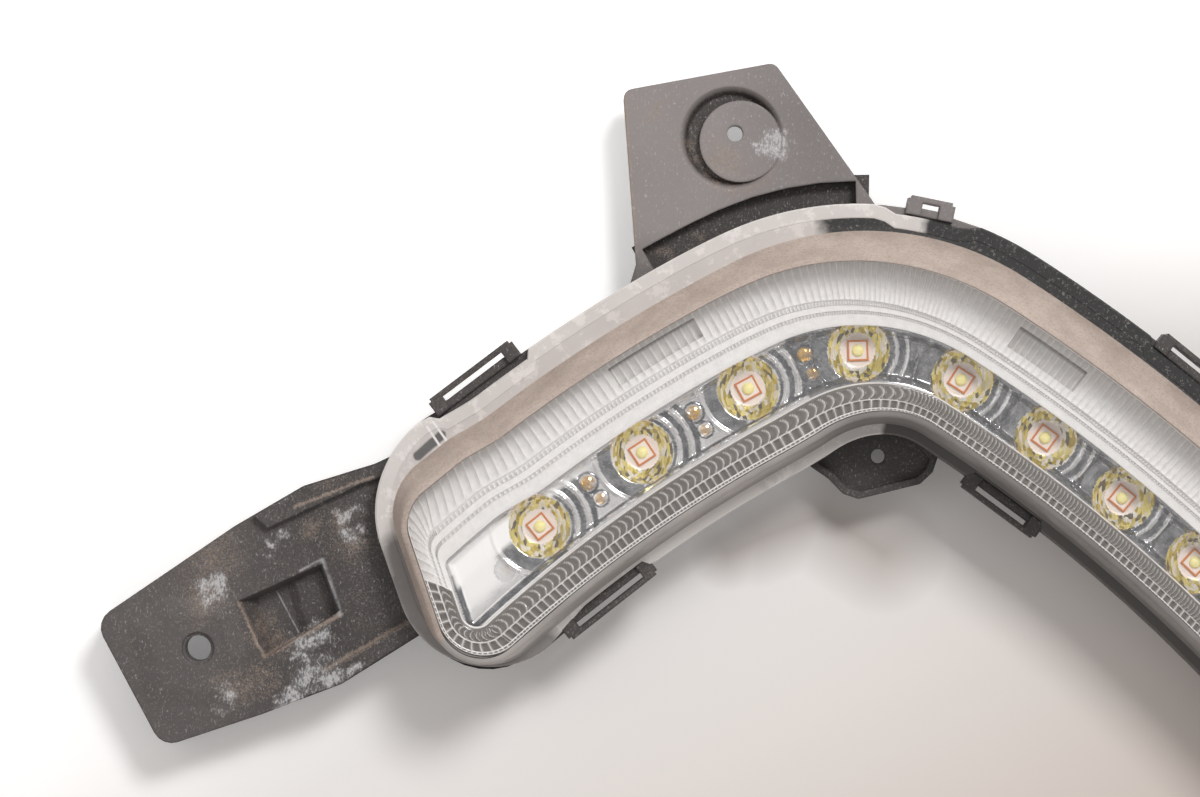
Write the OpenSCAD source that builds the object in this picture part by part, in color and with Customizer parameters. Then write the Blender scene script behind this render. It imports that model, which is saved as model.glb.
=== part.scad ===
// Daytime running light, boomerang shaped, with its three fixing ears.
// Lengths are in millimetres. +Z is the way the light shines, z = 0 is the flat back.
// Every outline follows one spine, three tangent arcs through the LED centres.
// s runs along the spine from the first LED, d is the distance from it, outer side positive.

/* [Spine] */
// Heading of the spine at the first LED, in degrees above +X
spine_heading = 38.5; // [30:1:50]
// Radius of the left arm
arm_left_r = 361; // [250:10:600]
// Length of the left arm from the first LED to the bend
arm_left_l = 73.4; // [60:1:95]
// Radius of the bend at the spine
bend_r = 44; // [40:1:60]
// Length of the bend along the spine
bend_l = 45.8; // [35:1:60]
// Radius of the right arm
arm_right_r = 426; // [300:10:700]

/* [LEDs] */
// Number of LEDs
led_count = 9; // [8:1:10]
// Spacing of the first two LEDs
pitch_first = 31.75; // [29:0.25:34]
// Spacing of the last LEDs
pitch_last = 24.5; // [23:0.25:28]
// Thickness of an LED's round base
led_base_h = 0.8; // [0.6:0.1:1.2]
// Diameter of an LED's round base
led_base_d = 7.8; // [6:0.2:9]
// Side of an LED's square submount
led_square = 5.4; // [4:0.2:5.8]
// Diameter of an LED's yellow core
led_core_d = 3; // [2:0.2:4]

/* [Heights] */
// Height of the whole lamp
lamp_h = 36; // [33:0.5:42]
// Height of the joint between the housing and the lens flange
joint_z = 21; // [20:0.5:23]
// Height of the upper face of the ears
ear_z = 15.4; // [14:0.2:15.8]
// Underside of the LED board
board_z = 14; // [13:0.5:15]

/* [Housing] */
// Thickness of the back wall
back_t = 2.4; // [1.8:0.2:3]
// Depth of the rim that carries the seal
rim_h = 5.2; // [4.8:0.2:6]
// Depth of the seal groove
groove_h = 3.6; // [3.2:0.1:4]
// Width of the groove at its narrow side
groove_w = 1.7; // [1.5:0.1:1.9]
// Thickness of the ears
ear_t = 3; // [2.4:0.2:3.6]
// Height of a snap loop above the joint
loop_rise = 2.2; // [1.6:0.2:3]

/* [Lens] */
// Wall of the outer lens
lens_t = 1.8; // [1.4:0.1:1.9]
// Thickness of the lens flange
flange_t = 2.4; // [1.8:0.2:3]
// Crown of the lens front
lens_crown = 0.5; // [0:0.1:1]

/* [Reflectors] */
// Spacing of the flutes on the bezel's outer band
flute_pitch = 2.25; // [2.2:0.1:3.2]
// Spacing of the flutes on the bezel's inner band
flute_pitch_low = 2.9; // [2.6:0.1:4]
// Depth of a flute
flute_h = 0.9; // [0.4:0.1:1.2]
// Wall of the bezel
bezel_t = 1.4; // [1:0.1:1.8]
// Depth of the mirror trough
trough_h = 2.4; // [1.5:0.1:2.6]
// Height of the bezel's outer edge
bezel_z = 29; // [28:0.5:30]
// Diameter of a reflector cup at its mouth
cup_d = 16; // [14:0.5:18]
// Depth of the two windows in the outer band
window_h = 1.2; // [0.4:0.2:1.6]

/* [Electronics] */
// Thickness of the circuit boards
board_t = 1.6; // [1:0.2:2]
// Thickness of the heat sink plate
sink_t = 2; // [1.5:0.5:3]
// Length of the connector socket's cavity
socket_l = 16; // [14:0.5:18]
// Width of the connector socket's cavity
socket_w = 8; // [7:0.5:9]
// Depth of the connector socket's cavity
socket_h = 11; // [9:0.5:12]

/* [Fixing holes] */
// Diameter of the hole in the left ear
left_hole_d = 6.5; // [5:0.5:8]
// Diameter of the hole in the top ear
top_hole_d = 4; // [3:0.2:6]
// Diameter of the hole in the lower ear
low_hole_d = 3.6; // [3:0.2:5]

/* [Hidden] */
// Clearance of a fitted piece
gap = 0.2;
// Overlap of fused shapes and overshoot of cuts
eps = 0.05;
over = 1;
// Rise of the outer lines at the left end, and where it fades out
left_rise = 1.8;
rise_a = -8;
rise_b = 8;
// Stretch of the spine over which the section changes from the left arm's to the right arm's
bend_end = arm_left_l + bend_l;
blend_a = arm_left_l - 11.4;
blend_b = bend_end + 0.8;
// Slope of the end lines against the spine's normal
end_slant = 24;
// Corner radii of the right end as a share of those of the left end
right_round = 0.55;
// Gaps over which the LED spacing falls to its last value
pitch_ease = 5.4;
// Points of the upper and lower corner arcs, and of each stretch of the spine
n_up = 8;
n_low = 10;
n_arm = 9;
n_bend = 10;
// First station beyond the corner arcs
st_first = -4;
// Heights worked out from the driving ones
flange_z = joint_z + flange_t;
ledge_z = joint_z - 1.4;
board_top = board_z + board_t;
sink_z = board_z - sink_t;
fin_z = sink_z - 6;
loop_foot = joint_z - rim_h + 0.6;
driver_z = socket_h + 4;
driver_top = driver_z + board_t;
socket_top = socket_h + 2;
band_z = bezel_z - 2.8;
step_z = band_z - 0.8;
dot_z = step_z - 1;
mouth_z = dot_z - 0.8;
trough_top = mouth_z - bezel_t;
cup_z = board_top + led_base_h;
floor_z = trough_top - trough_h;
plate_z = board_z - sink_t;

// Lens and seal
crown_in = 7;
edge_drop = 1.1;
edge_in = 1.6;
edge_round = 0.5;
flange_round = 0.4;
foot_round = 0.3;
foot_rise = 0.8;
tongue_h = 2.2;
tongue_gap = 0.35;

// Snap loops: [place along the spine, width, side]
clips = [[9.4, 26, 1], [arm_left_l + 29.6, 12, 1], [bend_end + 45.8, 26, 1], [bend_end + 88.8, 24, 1],
         [2.5, 28, -1], [bend_end + 27.3, 23, -1]];
loop_d = 3;
loop_step = 0.8;
notch_d = 2;
slot_in = 0.2;
slot_w = 1.4;
loop_side = 4;
hook_root = 0.6;
barb_h = 0.8;
barb_out = 0.6;
bridge_z = 1.2;

// Ears
left_ear_r = 5;
top_ear_r = 2.5;
low_ear_r = 1;
ear_wall = 1.8;
skirt_z = 4;
skirt_low = 3;

left_hole = [-86.1, -30.7];
// Places on the spine that the top and lower ears are measured from
top_anchor = arm_left_l + 1.6;
low_anchor = arm_left_l + 21.6;
boss_wall = 6;
collar_z = 8;
ring_w = 1.6;
ring_h = 0.8;
// Corners of the pocket, of its deep floor at the left and of its ramp at the right
pocket_pts = [[-76.1, -18.9], [-54.9, -9.4], [-50.4, -21.2], [-69.1, -33.2]];
deep_pts = [[-71.5, -18.3], [-64, -15], [-60.6, -27.7], [-66.6, -31.2]];
ramp_pts = [[-65.2, -15.5], [-55.6, -11.2], [-51.3, -21.6], [-61.8, -28.1]];
pocket_z = 9.4;
ramp_z = 10.6;
// Shallow pad about the left hole, at its foot and at its top
pad_foot = [[-104, -24], [-96, -17.5], [-77.1, -18.5], [-73.3, -32.9], [-77.5, -46.5], [-99.4, -44.5]];
pad_top = [[-98.5, -27], [-93, -22.5], [-80.5, -22.5], [-77.8, -33], [-81, -41.5], [-95, -40.5]];
pad_rise = 0.9;
lip_h = 2.2;
lip_top_pts = [[-72, 2.7], [-59.6, 9.9], [-41.6, 15.4], [-30, 20], [-30, 15.2], [-40.3, 12.3],
               [-45.1, 10.6], [-68.4, -0.4]];
lip_low_pts = [[-59.5, -43], [-49.9, -39.4], [-28, -25.7], [-28, -20.8], [-32.1, -23.5], [-54.9, -37.3]];
dish_d = 26;
dish_foot_d = 21.6;
dish_h = 2.6;
dish_at = [-0.9, -1.1];
dish_pad = [1.3, -2];
dish_pad_d = 20.6;
pad_drop = 0.3;
channel_a = arm_left_l - 16.4;
channel_b = arm_left_l + 19.6;
channel_w = 6;
channel_h = 4;
channel_n = 8;
rim_inside = 3;
low_ear_z = 11;
low_lip_h = 2;

// Socket, pins and vent
socket_s = arm_left_l + 22.6;
socket_d = 19;
socket_wall = 1.6;
pin_x = 2.6;
pin_t = 0.8;
pin_w = 1.6;
pin_z = 5;
pin_rise = 0.6;
vent_off = 19;
vent_d = 10.4;
vent_deep = 4;
vent_hole_d = 5;
vent_top = 6;
cap_h = 3;
cap_wall = 1.5;
cap_roof = 0.9;
cap_slot = 1.2;
membrane_out = 2;
membrane_t = 0.4;

// Screws and the pieces that they hold: gaps between the LEDs, counted from 0
board_screw_gaps = [0, 2, 4, led_count - 2];
board_screw_d = -1;
sink_screw_gaps = [0, 1, 4, led_count - 3];
sink_screw_off = 15.5;
screw_d = 2.4;
sink_screw_d = 3;
pilot_d = 2.6;
pilot_l = 8;
pilot_clear = 1;
screw_end = 1.4;
screw_head = 1.6;
sink_boss_d = 8;
fin_n = 34;
fin_a = -14;
fin_t = 1.4;
lug_in = 0.3;
lug_side = 1;
fin_in = 1;
fin_clear = 4;
trough_t = 1.3;
trough_boss_d = 5;
boss_skin = 1.2;
seat_gap = 0.3;
cup_lip = 0.5;
arc_in = 1.5;
arc_out = 4.3;
arc_t = 1;
arc_h = 0.8;
arc_turn = 80;
trough_lip = 2.6;
led_sub_h = 0.6;

// Driver board on the bend, and what stands on it
driver_a = arm_left_l + 4.6;
driver_b = bend_end - 4.2;
driver_in = 12.4;
driver_out = 24.8;
driver_mid = (driver_in + driver_out) / 2;
driver_post_d = 5;
post_in = 3.3;
inductor_s = arm_left_l + 30.1;
coil_d = 8;
coil_h = 5;
coil_wind_d = 6;
coil_cheek = 1.2;
can_in = 3.2;
peg_d = 2.6;
peg_rise = 0.8;
chip_s = arm_left_l + 16.6;
chip_in = 3.6;
chip_l = 5;
chip_w = 4;
chip_h = 1.6;
chip_up = 0.1;
lead_pitch = 1.27;
lead_w = 0.4;
lead_l = 1;
lead_h = 0.5;
can_d = 5;
can_h = 4.6;
can_edge = 0.4;
jumper_s = arm_left_l + 10.6;
jumper_w = 8;
jumper_t = 0.4;
jumper_foot = 0.8;
jumper_lap = 2.5;
jumper_rise = 1.6;

// Bezel: stretches of the two windows, and the share of the flute spacing at the spine
window_a = [35.8, 59.3];
window_b = [bend_end + 5.1, bend_end + 24.6];
brim = 0.8;
spine_share_up = 0.88;
spine_share_low = 1.04;
n_fan = 12;
$fn = 48;

// Ease from 0 to 1
function ease(t) = let (u = min(max(t, 0), 1)) u * u * (3 - 2 * u);
function deg(a) = a * 180 / PI;

// Headings, joints and centres of the three arcs
h1 = spine_heading - deg(arm_left_l / arm_left_r);
h2 = h1 - deg(bend_l / bend_r);
function right_of(h) = [sin(h), -cos(h)];
c1 = arm_left_r * right_of(spine_heading);
p1 = c1 - arm_left_r * right_of(h1);
c2 = p1 + bend_r * right_of(h1);
p2 = c2 - bend_r * right_of(h2);
c3 = p2 + arm_right_r * right_of(h2);

// Heading of the spine at s, and the point at s and d
function heading(s) =
    s < arm_left_l ? spine_heading - deg(s / arm_left_r)
    : s < arm_left_l + bend_l ? h1 - deg((s - arm_left_l) / bend_r)
    : h2 - deg((s - arm_left_l - bend_l) / arm_right_r);
function at(s, d = 0) =
    s < arm_left_l ? c1 - (arm_left_r + d) * right_of(heading(s))
    : s < arm_left_l + bend_l ? c2 - (bend_r + d) * right_of(heading(s))
    : c3 - (arm_right_r + d) * right_of(heading(s));

// Position of each LED along the spine
function pitch(i) = pitch_first
    + (pitch_last - pitch_first) * (1 - cos(180 * min(i / pitch_ease, 1))) / 2;
function led_s(i) = i <= 0 ? 0 : led_s(i - 1) + pitch(i - 1);
function mid_s(i) = (led_s(i) + led_s(i + 1)) / 2;
s_last = led_s(led_count - 1);

// An outline is [upper offset left, right, lower offset left, right, end distance,
// upper corner radius, lower corner radius]. The end distance is measured from the last
// LED centre, square to the slanting end line.
function inset(o, t) =
    [o[0] - t, o[1] - t, o[2] + t, o[3] + t, o[4] - t, max(o[5] - t, 1), max(o[6] - t, 1)];
function tighter(o) = [o[0], o[1], o[2], o[3], o[4], o[5] * right_round, o[6] * right_round];
function mix(a, b, t) = a + (b - a) * t;
function up(o, s) = mix(o[0], o[1], ease((s - blend_a) / (blend_b - blend_a)))
    + left_rise * (1 - ease((s - rise_a) / (rise_b - rise_a)));
function low(o, s) = mix(o[2], o[3], ease((s - blend_a) / (blend_b - blend_a)));

// Corner arcs of one end in the plane of s and d, from the lower line to the upper line
function corner(cd, r, o, a) =
    let (cs = (cd * sin(end_slant) - (o[4] - r)) / cos(end_slant))
    [cs + r * cos(a), cd + r * sin(a)];
function end_arc(o, u, l, nl, nu) = concat(
    [for (k = [0:nl - 1]) corner(l + o[6], o[6], o, 270 - (90 + end_slant) * k / (nl - 1))],
    [for (k = [0:nu - 1]) corner(u - o[5], o[5], o, 180 - end_slant - (90 - end_slant) * k / (nu - 1))]);

// Stations along the spine, and the closed outline as points of [x, y, s, d]
stations = concat(
    [for (k = [0:n_arm - 1]) mix(st_first, arm_left_l, k / n_arm)],
    [for (k = [0:n_bend - 1]) arm_left_l + bend_l * k / n_bend],
    [for (k = [0:n_arm]) mix(arm_left_l + bend_l, s_last - st_first, k / n_arm)]);
function spot(s, d) = let (p = at(s, d)) [p[0], p[1], s, d];
function backwards(v) = [for (k = [len(v) - 1:-1:0]) v[k]];
function outline(o, top = stations, bottom = stations, nl = n_low, nu = n_up) =
    let (left = end_arc(o, up(o, rise_a), low(o, rise_a), nl, nu),
         right = end_arc(tighter(o), up(o, s_last), low(o, s_last), nl, nu))
    concat(
        [for (e = left) spot(e[0], e[1])],
        [for (s = top) spot(s, up(o, s))],
        [for (e = backwards(right)) spot(s_last - e[0], e[1])],
        [for (s = backwards(bottom)) spot(s, low(o, s))]);
function flat(pts) = [for (p = pts) [p[0], p[1]]];
function lift(pts, z) = [for (p = pts) [p[0], p[1], z]];

// Outlines of the lamp, outermost first
rim_line = [37.6, 36, -24.4, -19.6, 38.5, 27.5, 23];
foot_line = [29.5, 29.5, -21.3, -16.6, 33.8, 15, 15.5];
front_line = [25.2, 22.6, -19.6, -15.4, 32.6, 12, 12.5];
wall_line = inset(foot_line, 1.8);
groove_in = inset(foot_line, -0.2);
groove_out = inset(foot_line, -0.2 - groove_w);
ledge_line = inset(wall_line, 1.6);
tray_line = inset(foot_line, -0.6);
skirt_line = inset(wall_line, 0.5);
band_out = [24.4, 21.4, -18, -13.7, 31, 11, 11.5];
band_in = [15, 10.6, -14.2, -11.2, 28.2, 5, 8];
step_line = [12.6, 8.8, -12.2, -9.7, 27, 4, 6.5];
dot_line = [9.4, 7.3, -10.7, -8.5, 26, 3, 5];
mouth_line = [7, 5.6, -9.6, -7, 25.2, 2.5, 3.8];
board_line = [10, 8.8, -12, -9.8, 27.6, 5, 6];
sink_line = inset(board_line, -0.8);

// Solid between two outlines' heights
module slab(o, z0, z1) {
    translate([0, 0, z0]) linear_extrude(z1 - z0) polygon(flat(outline(o)));
}

// Wall between an outer and an inner outline
module hoop(outer, inner, z0, z1) {
    difference() {
        slab(outer, z0, z1);
        slab(inner, z0 - over, z1 + over);
    }
}

// Places children at a point of the spine, x along it and y outwards
module on_spine(s, d = 0) {
    translate(concat(at(s, d), [0])) rotate(heading(s)) children();
}

// Solid through a list of rings with the same number of points, closed by a flat face at
// each end, or joined end to end where ring is true
module loft(rings, ring = false) {
    n = len(rings[0]);
    m = len(rings);
    last = ring ? m - 1 : m - 2;
    sides = [for (j = [0:last]) for (i = [0:n - 1])
        let (a = j * n + i, b = j * n + (i + 1) % n,
             c = ((j + 1) % m) * n + (i + 1) % n, d = ((j + 1) % m) * n + i)
        each [[a, b, c], [a, c, d]]];
    half = floor(n / 2);
    first = n_low;
    strip = [for (k = [0:half - 2])
        let (a = (first + k) % n, b = (first + k + 1) % n,
             c = (first - 2 - k + n) % n, d = (first - 1 - k + n) % n)
        each [[a, b, c], [a, c, d]]];
    caps = ring ? [] : concat([for (f = strip) backwards(f)],
                              [for (f = strip) [for (v = f) (m - 1) * n + v]]);
    polyhedron(points = [for (r = rings) each r], faces = concat(sides, caps), convexity = 8);
}

// Corner of a polygon rounded with radius r, as n + 1 points
function unit(v) = v / norm(v);
function round_corner(a, b, c, r, n = 4) =
    let (u = unit(a - b), v = unit(c - b), half = acos(u * v) / 2,
         m = b + unit(u + v) * r / sin(half),
         p = b + u * r / tan(half) - m, q = b + v * r / tan(half) - m,
         turn = atan2(p[0] * q[1] - p[1] * q[0], p * q), from = atan2(p[1], p[0]))
    [for (k = [0:n]) m + r * [cos(from + turn * k / n), sin(from + turn * k / n)]];
function rounded(pts, r) =
    let (n = len(pts))
    [for (k = [0:n - 1]) each round_corner(pts[(k + n - 1) % n], pts[k], pts[(k + 1) % n], r)];

// Points given from a place on the spine
function from(s, pts) = [for (p = pts) at(s) + p];

// Frame: the middle of the bounding box of everything seen from above
left_ear_pts = [[-112.2, -23.9], [-95.2, -55.7], [-69.9, -47.3], [-49.9, -39.7], [-28, -26],
                [-24, 24], [-41.6, 15.8], [-59.6, 10.2], [-76.9, 0.1]];
top_hole = at(top_anchor) + [-13.92, 58.74];
low_hole = at(low_anchor) + [2.87, -26.69];
top_ear_pts = from(top_anchor, [[-42.22, 69.54], [-4.02, 76.54], [19.48, 43.44], [24.88, 35.74],
    [-39.12, 13.74], [-40.82, 19.54], [-38.92, 25.74]]);
low_ear_pts = from(low_anchor, [[-15.03, -28.69], [-9.53, -32.49], [-5.93, -36.19], [-2.13, -37.49],
    [13.37, -33.69], [16.57, -30.69], [17.87, -26.89], [9.47, -18.29], [-6.53, -19.29]]);
rim_pts = outline(rim_line);
all_pts = concat(flat(rim_pts), rounded(left_ear_pts, left_ear_r), rounded(top_ear_pts, top_ear_r));
mid_x = (min([for (p = all_pts) p[0]]) + max([for (p = all_pts) p[0]])) / 2;
mid_y = (min([for (p = all_pts) p[1]]) + max([for (p = all_pts) p[1]])) / 2;
module framed() {
    translate([-mid_x, -mid_y, 0]) children();
}

// Places worked out along the spine
function board_hole(i) = at(mid_s(i), board_screw_d);
sink_screw_pts = [for (i = sink_screw_gaps) at(mid_s(i), sink_screw_off)];
driver_post_pts = [for (s = [driver_a + post_in, driver_b - post_in]) at(s, driver_out - post_in)];
inductor = at(inductor_s, driver_mid);
capacitor_pts = [at(inductor_s + coil_d, driver_in + can_in), at(chip_s, driver_out - can_in)];
vent = at(led_s(1), vent_off);

module block(x0, x1, y0, y1, z0, z1) {
    translate([x0, y0, z0]) cube([x1 - x0, y1 - y0, z1 - z0]);
}

module plate(pts, z0, z1) {
    translate([0, 0, z0]) linear_extrude(z1 - z0) polygon(pts);
}

// Solid with flat slopes between a polygon at z0 and one at z1
module slope(pts0, pts1, z0, z1) {
    hull() {
        plate(pts0, z0, z0 + eps);
        plate(pts1, z1 - eps, z1);
    }
}

// Upright round post, hole or cone with its foot at a point
module post(p, d, z0, z1, d1) {
    translate([p[0], p[1], z0]) cylinder(d1 = d, d2 = is_undef(d1) ? d : d1, h = z1 - z0);
}

// Line of the rim's edge on the side that side names, 1 outside and -1 inside
function edge(s, w, side) = side > 0 ? up(rim_line, s - w / 2) : low(rim_line, s);
module at_clip(c) {
    on_spine(c[0], edge(c[0], c[1], c[2])) mirror([0, c[2] > 0 ? 0 : 1, 0]) children();
}

// Frame with a slot that takes a hook of the lens
module snap_loop(c) {
    top = joint_z + loop_rise;
    w = hook_w(c) / 2 + gap;
    at_clip(c) difference() {
        union() {
            block(-c[1] / 2, c[1] / 2, -notch_d + gap, loop_d - loop_step, loop_foot, top);
            block(loop_step - c[1] / 2, c[1] / 2 - loop_step, loop_d - loop_step - eps, loop_d,
                  loop_foot, top);
        }
        block(-w, w, slot_in, slot_in + slot_w, loop_foot - over, top + over);
        block(-w, w, -notch_d - over, slot_in + slot_w, joint_z + bridge_z, top + over);
    }
}
function hook_w(c) = c[1] - 2 * loop_side;

// Left ear: a tray with a skirt, a square pocket and raised lips beside the lens
module left_ear() {
    under = ear_z - ear_t;
    difference() {
        union() {
            plate(rounded(left_ear_pts, left_ear_r), under, ear_z);
            difference() {
                plate(rounded(left_ear_pts, left_ear_r), skirt_z, under + eps);
                translate([0, 0, skirt_z - over]) linear_extrude(under)
                    offset(delta = -ear_wall) polygon(rounded(left_ear_pts, left_ear_r));
            }
            translate([0, 0, pocket_z - ear_wall]) linear_extrude(under + eps - pocket_z + ear_wall)
                offset(delta = ear_wall) polygon(pocket_pts);
            post(left_hole, left_hole_d + boss_wall, collar_z, under + eps);
            slope(pad_foot, pad_top, ear_z - eps, ear_z + pad_rise);
            plate(lip_top_pts, ear_z - eps, ear_z + lip_h);
            plate(lip_low_pts, ear_z - eps, ear_z + lip_h);
        }
        slope(pocket_pts, deep_pts, ear_z, pocket_z);
        slope(pocket_pts, ramp_pts, ear_z, ramp_z);
        plate(pocket_pts, ear_z - eps, ear_z + lip_h);
        post(left_hole, left_hole_d, -over, ear_z + over);
        post(left_hole, left_hole_d + ring_w, ear_z + pad_rise - ring_h, ear_z + lip_h);
    }
}

// Top ear: a plate with a round dish about its hole and a channel along the lens
module top_ear() {
    under = ear_z - ear_t;
    difference() {
        union() {
            plate(rounded(top_ear_pts, top_ear_r), under, ear_z);
            post(top_hole + dish_at, dish_d + ear_t, under - dish_h, under + eps);
            channel(-ear_wall, under - channel_h, under + eps);
            difference() {
                plate(rounded(top_ear_pts, top_ear_r), under - skirt_low, under + eps);
                translate([0, 0, under - skirt_low - over]) linear_extrude(skirt_low + over)
                    offset(delta = -ear_wall) polygon(rounded(top_ear_pts, top_ear_r));
            }
        }
        difference() {
            post(top_hole + dish_at, dish_foot_d, ear_z - dish_h, ear_z + eps, dish_d);
            post(top_hole + dish_pad, dish_pad_d, ear_z - dish_h - over, ear_z - pad_drop);
        }
        channel(0, ear_z - channel_h, ear_z + over);
        post(top_hole, top_hole_d, -over, ear_z + over);
    }
}

// Channel beside the rim, widened by t
module channel(t, z0, z1) {
    outer = [for (k = [0:channel_n]) let (s = mix(channel_a + t, channel_b - t, k / channel_n))
        at(s, up(rim_line, s) + channel_w - t)];
    inner = [for (k = [0:channel_n]) let (s = mix(channel_b - t, channel_a + t, k / channel_n))
        at(s, up(rim_line, s) - rim_inside + t)];
    plate(concat(outer, inner), z0, z1);
}

// Lower ear: a small dished tab with a turned-up edge
module low_ear() {
    difference() {
        plate(rounded(low_ear_pts, low_ear_r), low_ear_z - ear_t, low_ear_z + low_lip_h);
        translate([0, 0, low_ear_z]) linear_extrude(low_lip_h + over)
            offset(delta = -ear_wall) polygon(rounded(low_ear_pts, low_ear_r));
        post(low_hole, low_hole_d, -over, low_ear_z + over);
    }
}

// Socket for the two-way plug, open at the back
module socket_at() {
    translate(concat(at(socket_s, socket_d), [0])) children();
}

module socket_box(t, z0, z1) {
    block(-socket_l / 2 - t, socket_l / 2 + t, -socket_w / 2 - t, socket_w / 2 + t, z0, z1);
}

module housing() {
    color([0.17, 0.16, 0.15]) framed() {
        difference() {
            union() {
                slab(tray_line, 0, joint_z - rim_h + eps);
                slab(rim_line, joint_z - rim_h, joint_z);
                for (c = clips) snap_loop(c);
                left_ear();
                top_ear();
                low_ear();
            }
            difference() {
                union() {
                    slab(ledge_line, back_t, joint_z + over);
                    slab(wall_line, ledge_z, joint_z + over);
                }
                tray_fittings();
            }
            hoop(groove_out, groove_in, joint_z - groove_h, joint_z + over);
            socket_at() socket_box(0, -over, socket_h);
            for (x = [-pin_x, pin_x]) socket_at()
                block(x - pin_t / 2 - gap / 2, x + pin_t / 2 + gap / 2, -pin_w / 2 - gap / 2,
                      pin_w / 2 + gap / 2, socket_h - over, socket_top + over);
            post(vent, vent_d, -over, vent_deep);
            post(vent, vent_hole_d, 0, vent_top + over);
            for (p = sink_screw_pts) post(p, pilot_d, sink_z - pilot_l, sink_z + over);
        }
        for (p = driver_post_pts) post(p, peg_d, driver_z - eps, driver_z + board_t + peg_rise);
    }
}

// Bosses and walls that stand on the inside of the back
module tray_fittings() {
    for (p = sink_screw_pts) post(p, sink_boss_d, 0, sink_z);
    for (p = driver_post_pts) post(p, driver_post_d, 0, driver_z);
    socket_at() socket_box(socket_wall, 0, socket_top);
    post(vent, vent_d + 2 * socket_wall, 0, vent_top);
}

// Rings of the lens from the middle of its inside, down the wall, round the flange and back
// over the outside
module lens_shell() {
    edge_z = lamp_h - lens_crown - edge_drop;
    loft([
        lift(outline(inset(front_line, crown_in)), lamp_h - lens_t),
        lift(outline(inset(front_line, lens_t + edge_in)), lamp_h - lens_crown - lens_t),
        lift(outline(inset(front_line, lens_t)), edge_z - edge_round),
        lift(outline(wall_line), joint_z),
        lift(outline(rim_line), joint_z),
        lift(outline(rim_line), flange_z - flange_round),
        lift(outline(inset(rim_line, flange_round)), flange_z),
        lift(outline(inset(foot_line, -flange_round)), flange_z),
        lift(outline(inset(foot_line, foot_round)), flange_z + foot_rise),
        lift(outline(front_line), edge_z),
        lift(outline(inset(front_line, edge_round)), lamp_h - lens_crown - edge_round / 2),
        lift(outline(inset(front_line, edge_in)), lamp_h - lens_crown),
        lift(outline(inset(front_line, crown_in)), lamp_h)
    ]);
}

module lens_hook(c) {
    w = hook_w(c) / 2;
    outer = slot_in + slot_w - gap;
    at_clip(c) {
        block(-w, w, -notch_d - hook_root, outer, joint_z + bridge_z + gap / 2, flange_z);
        block(-w, w, slot_in + gap, outer, loop_foot - barb_h, flange_z - eps);
        block(-w, w, slot_in + gap, outer + barb_out, loop_foot - barb_h, loop_foot - gap / 2);
    }
}

module outer_lens() {
    color([0.86, 0.86, 0.84, 0.55]) framed() {
        difference() {
            lens_shell();
            for (c = clips) at_clip(c)
                block(-c[1] / 2 - gap, c[1] / 2 + gap, -notch_d, loop_d, joint_z - over, flange_z + over);
        }
        for (c = clips) lens_hook(c);
        hoop(inset(groove_out, tongue_gap), inset(groove_in, -tongue_gap),
             joint_z - tongue_h, joint_z + eps);
    }
}

module lens_seal() {
    color([0.1, 0.1, 0.1]) framed()
        hoop(inset(groove_out, gap), inset(groove_in, -gap), joint_z - groove_h, joint_z - tongue_h);
}

// Window in the outer band, as a drop in height along the spine
function dip(s, d) = d < 0 ? 0
    : (s > window_a[0] && s < window_a[1]) || (s > window_b[0] && s < window_b[1]) ? window_h : 0;

// Stations of the flutes, two to a flute
function flute_stations(pitch) =
    let (l = s_last - 2 * st_first, n = 2 * round(l / pitch))
    [for (k = [0:n]) st_first + l * k / n];
upper_flutes = flute_stations(flute_pitch * spine_share_up);
lower_flutes = flute_stations(flute_pitch_low * spine_share_low);
function fluted(o) = outline(o, upper_flutes, lower_flutes, n_fan, n_fan);
function waves(o, z, h, w = 0) = let (pts = fluted(o))
    [for (k = [0:len(pts) - 1]) [pts[k][0], pts[k][1],
        z + (k % 2 == 0 ? h / 2 : -h / 2) - w * dip(pts[k][2], pts[k][3])]];

module fluted_bezel() {
    color([0.8, 0.79, 0.76]) framed() loft([
        waves(skirt_line, ledge_z, 0),
        waves(band_out, bezel_z, 0),
        waves(inset(band_out, brim), bezel_z, flute_h, 1),
        waves(band_in, band_z, flute_h, 1),
        waves(step_line, step_z, 0),
        waves(dot_line, dot_z, flute_h / 2),
        waves(mouth_line, mouth_z, 0),
        waves(mouth_line, mouth_z - bezel_t, 0),
        waves(inset(band_out, bezel_t), bezel_z - bezel_t - flute_h - window_h, 0),
        waves(inset(skirt_line, bezel_t), ledge_z, 0)
    ], ring = true);
}

// Mirror: a channel with a cup round each LED and two steps on the far side of each cup
module led_trough() {
    color([0.62, 0.63, 0.66]) framed() difference() {
        union() {
            hoop(inset(mouth_line, -trough_t - gap), inset(mouth_line, -gap), board_top, trough_top);
            slab(inset(mouth_line, -trough_t), floor_z - trough_t, floor_z);
            hoop(inset(mouth_line, -trough_lip), inset(mouth_line, -gap),
                 trough_top - trough_t, trough_top);
            intersection() {
                slab(inset(mouth_line, -gap - eps), board_top, trough_top);
                for (i = [0:led_count - 1]) cup_wall(i);
            }
            for (i = board_screw_gaps) post(board_hole(i), trough_boss_d, board_top, floor_z - eps);
        }
        intersection() {
            slab(inset(mouth_line, -gap), board_top - over, trough_top + over);
            for (i = [0:led_count - 1]) cup_space(i);
        }
        for (i = board_screw_gaps)
            post(board_hole(i), screw_d, board_top - over, floor_z - boss_skin);
    }
}

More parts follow.
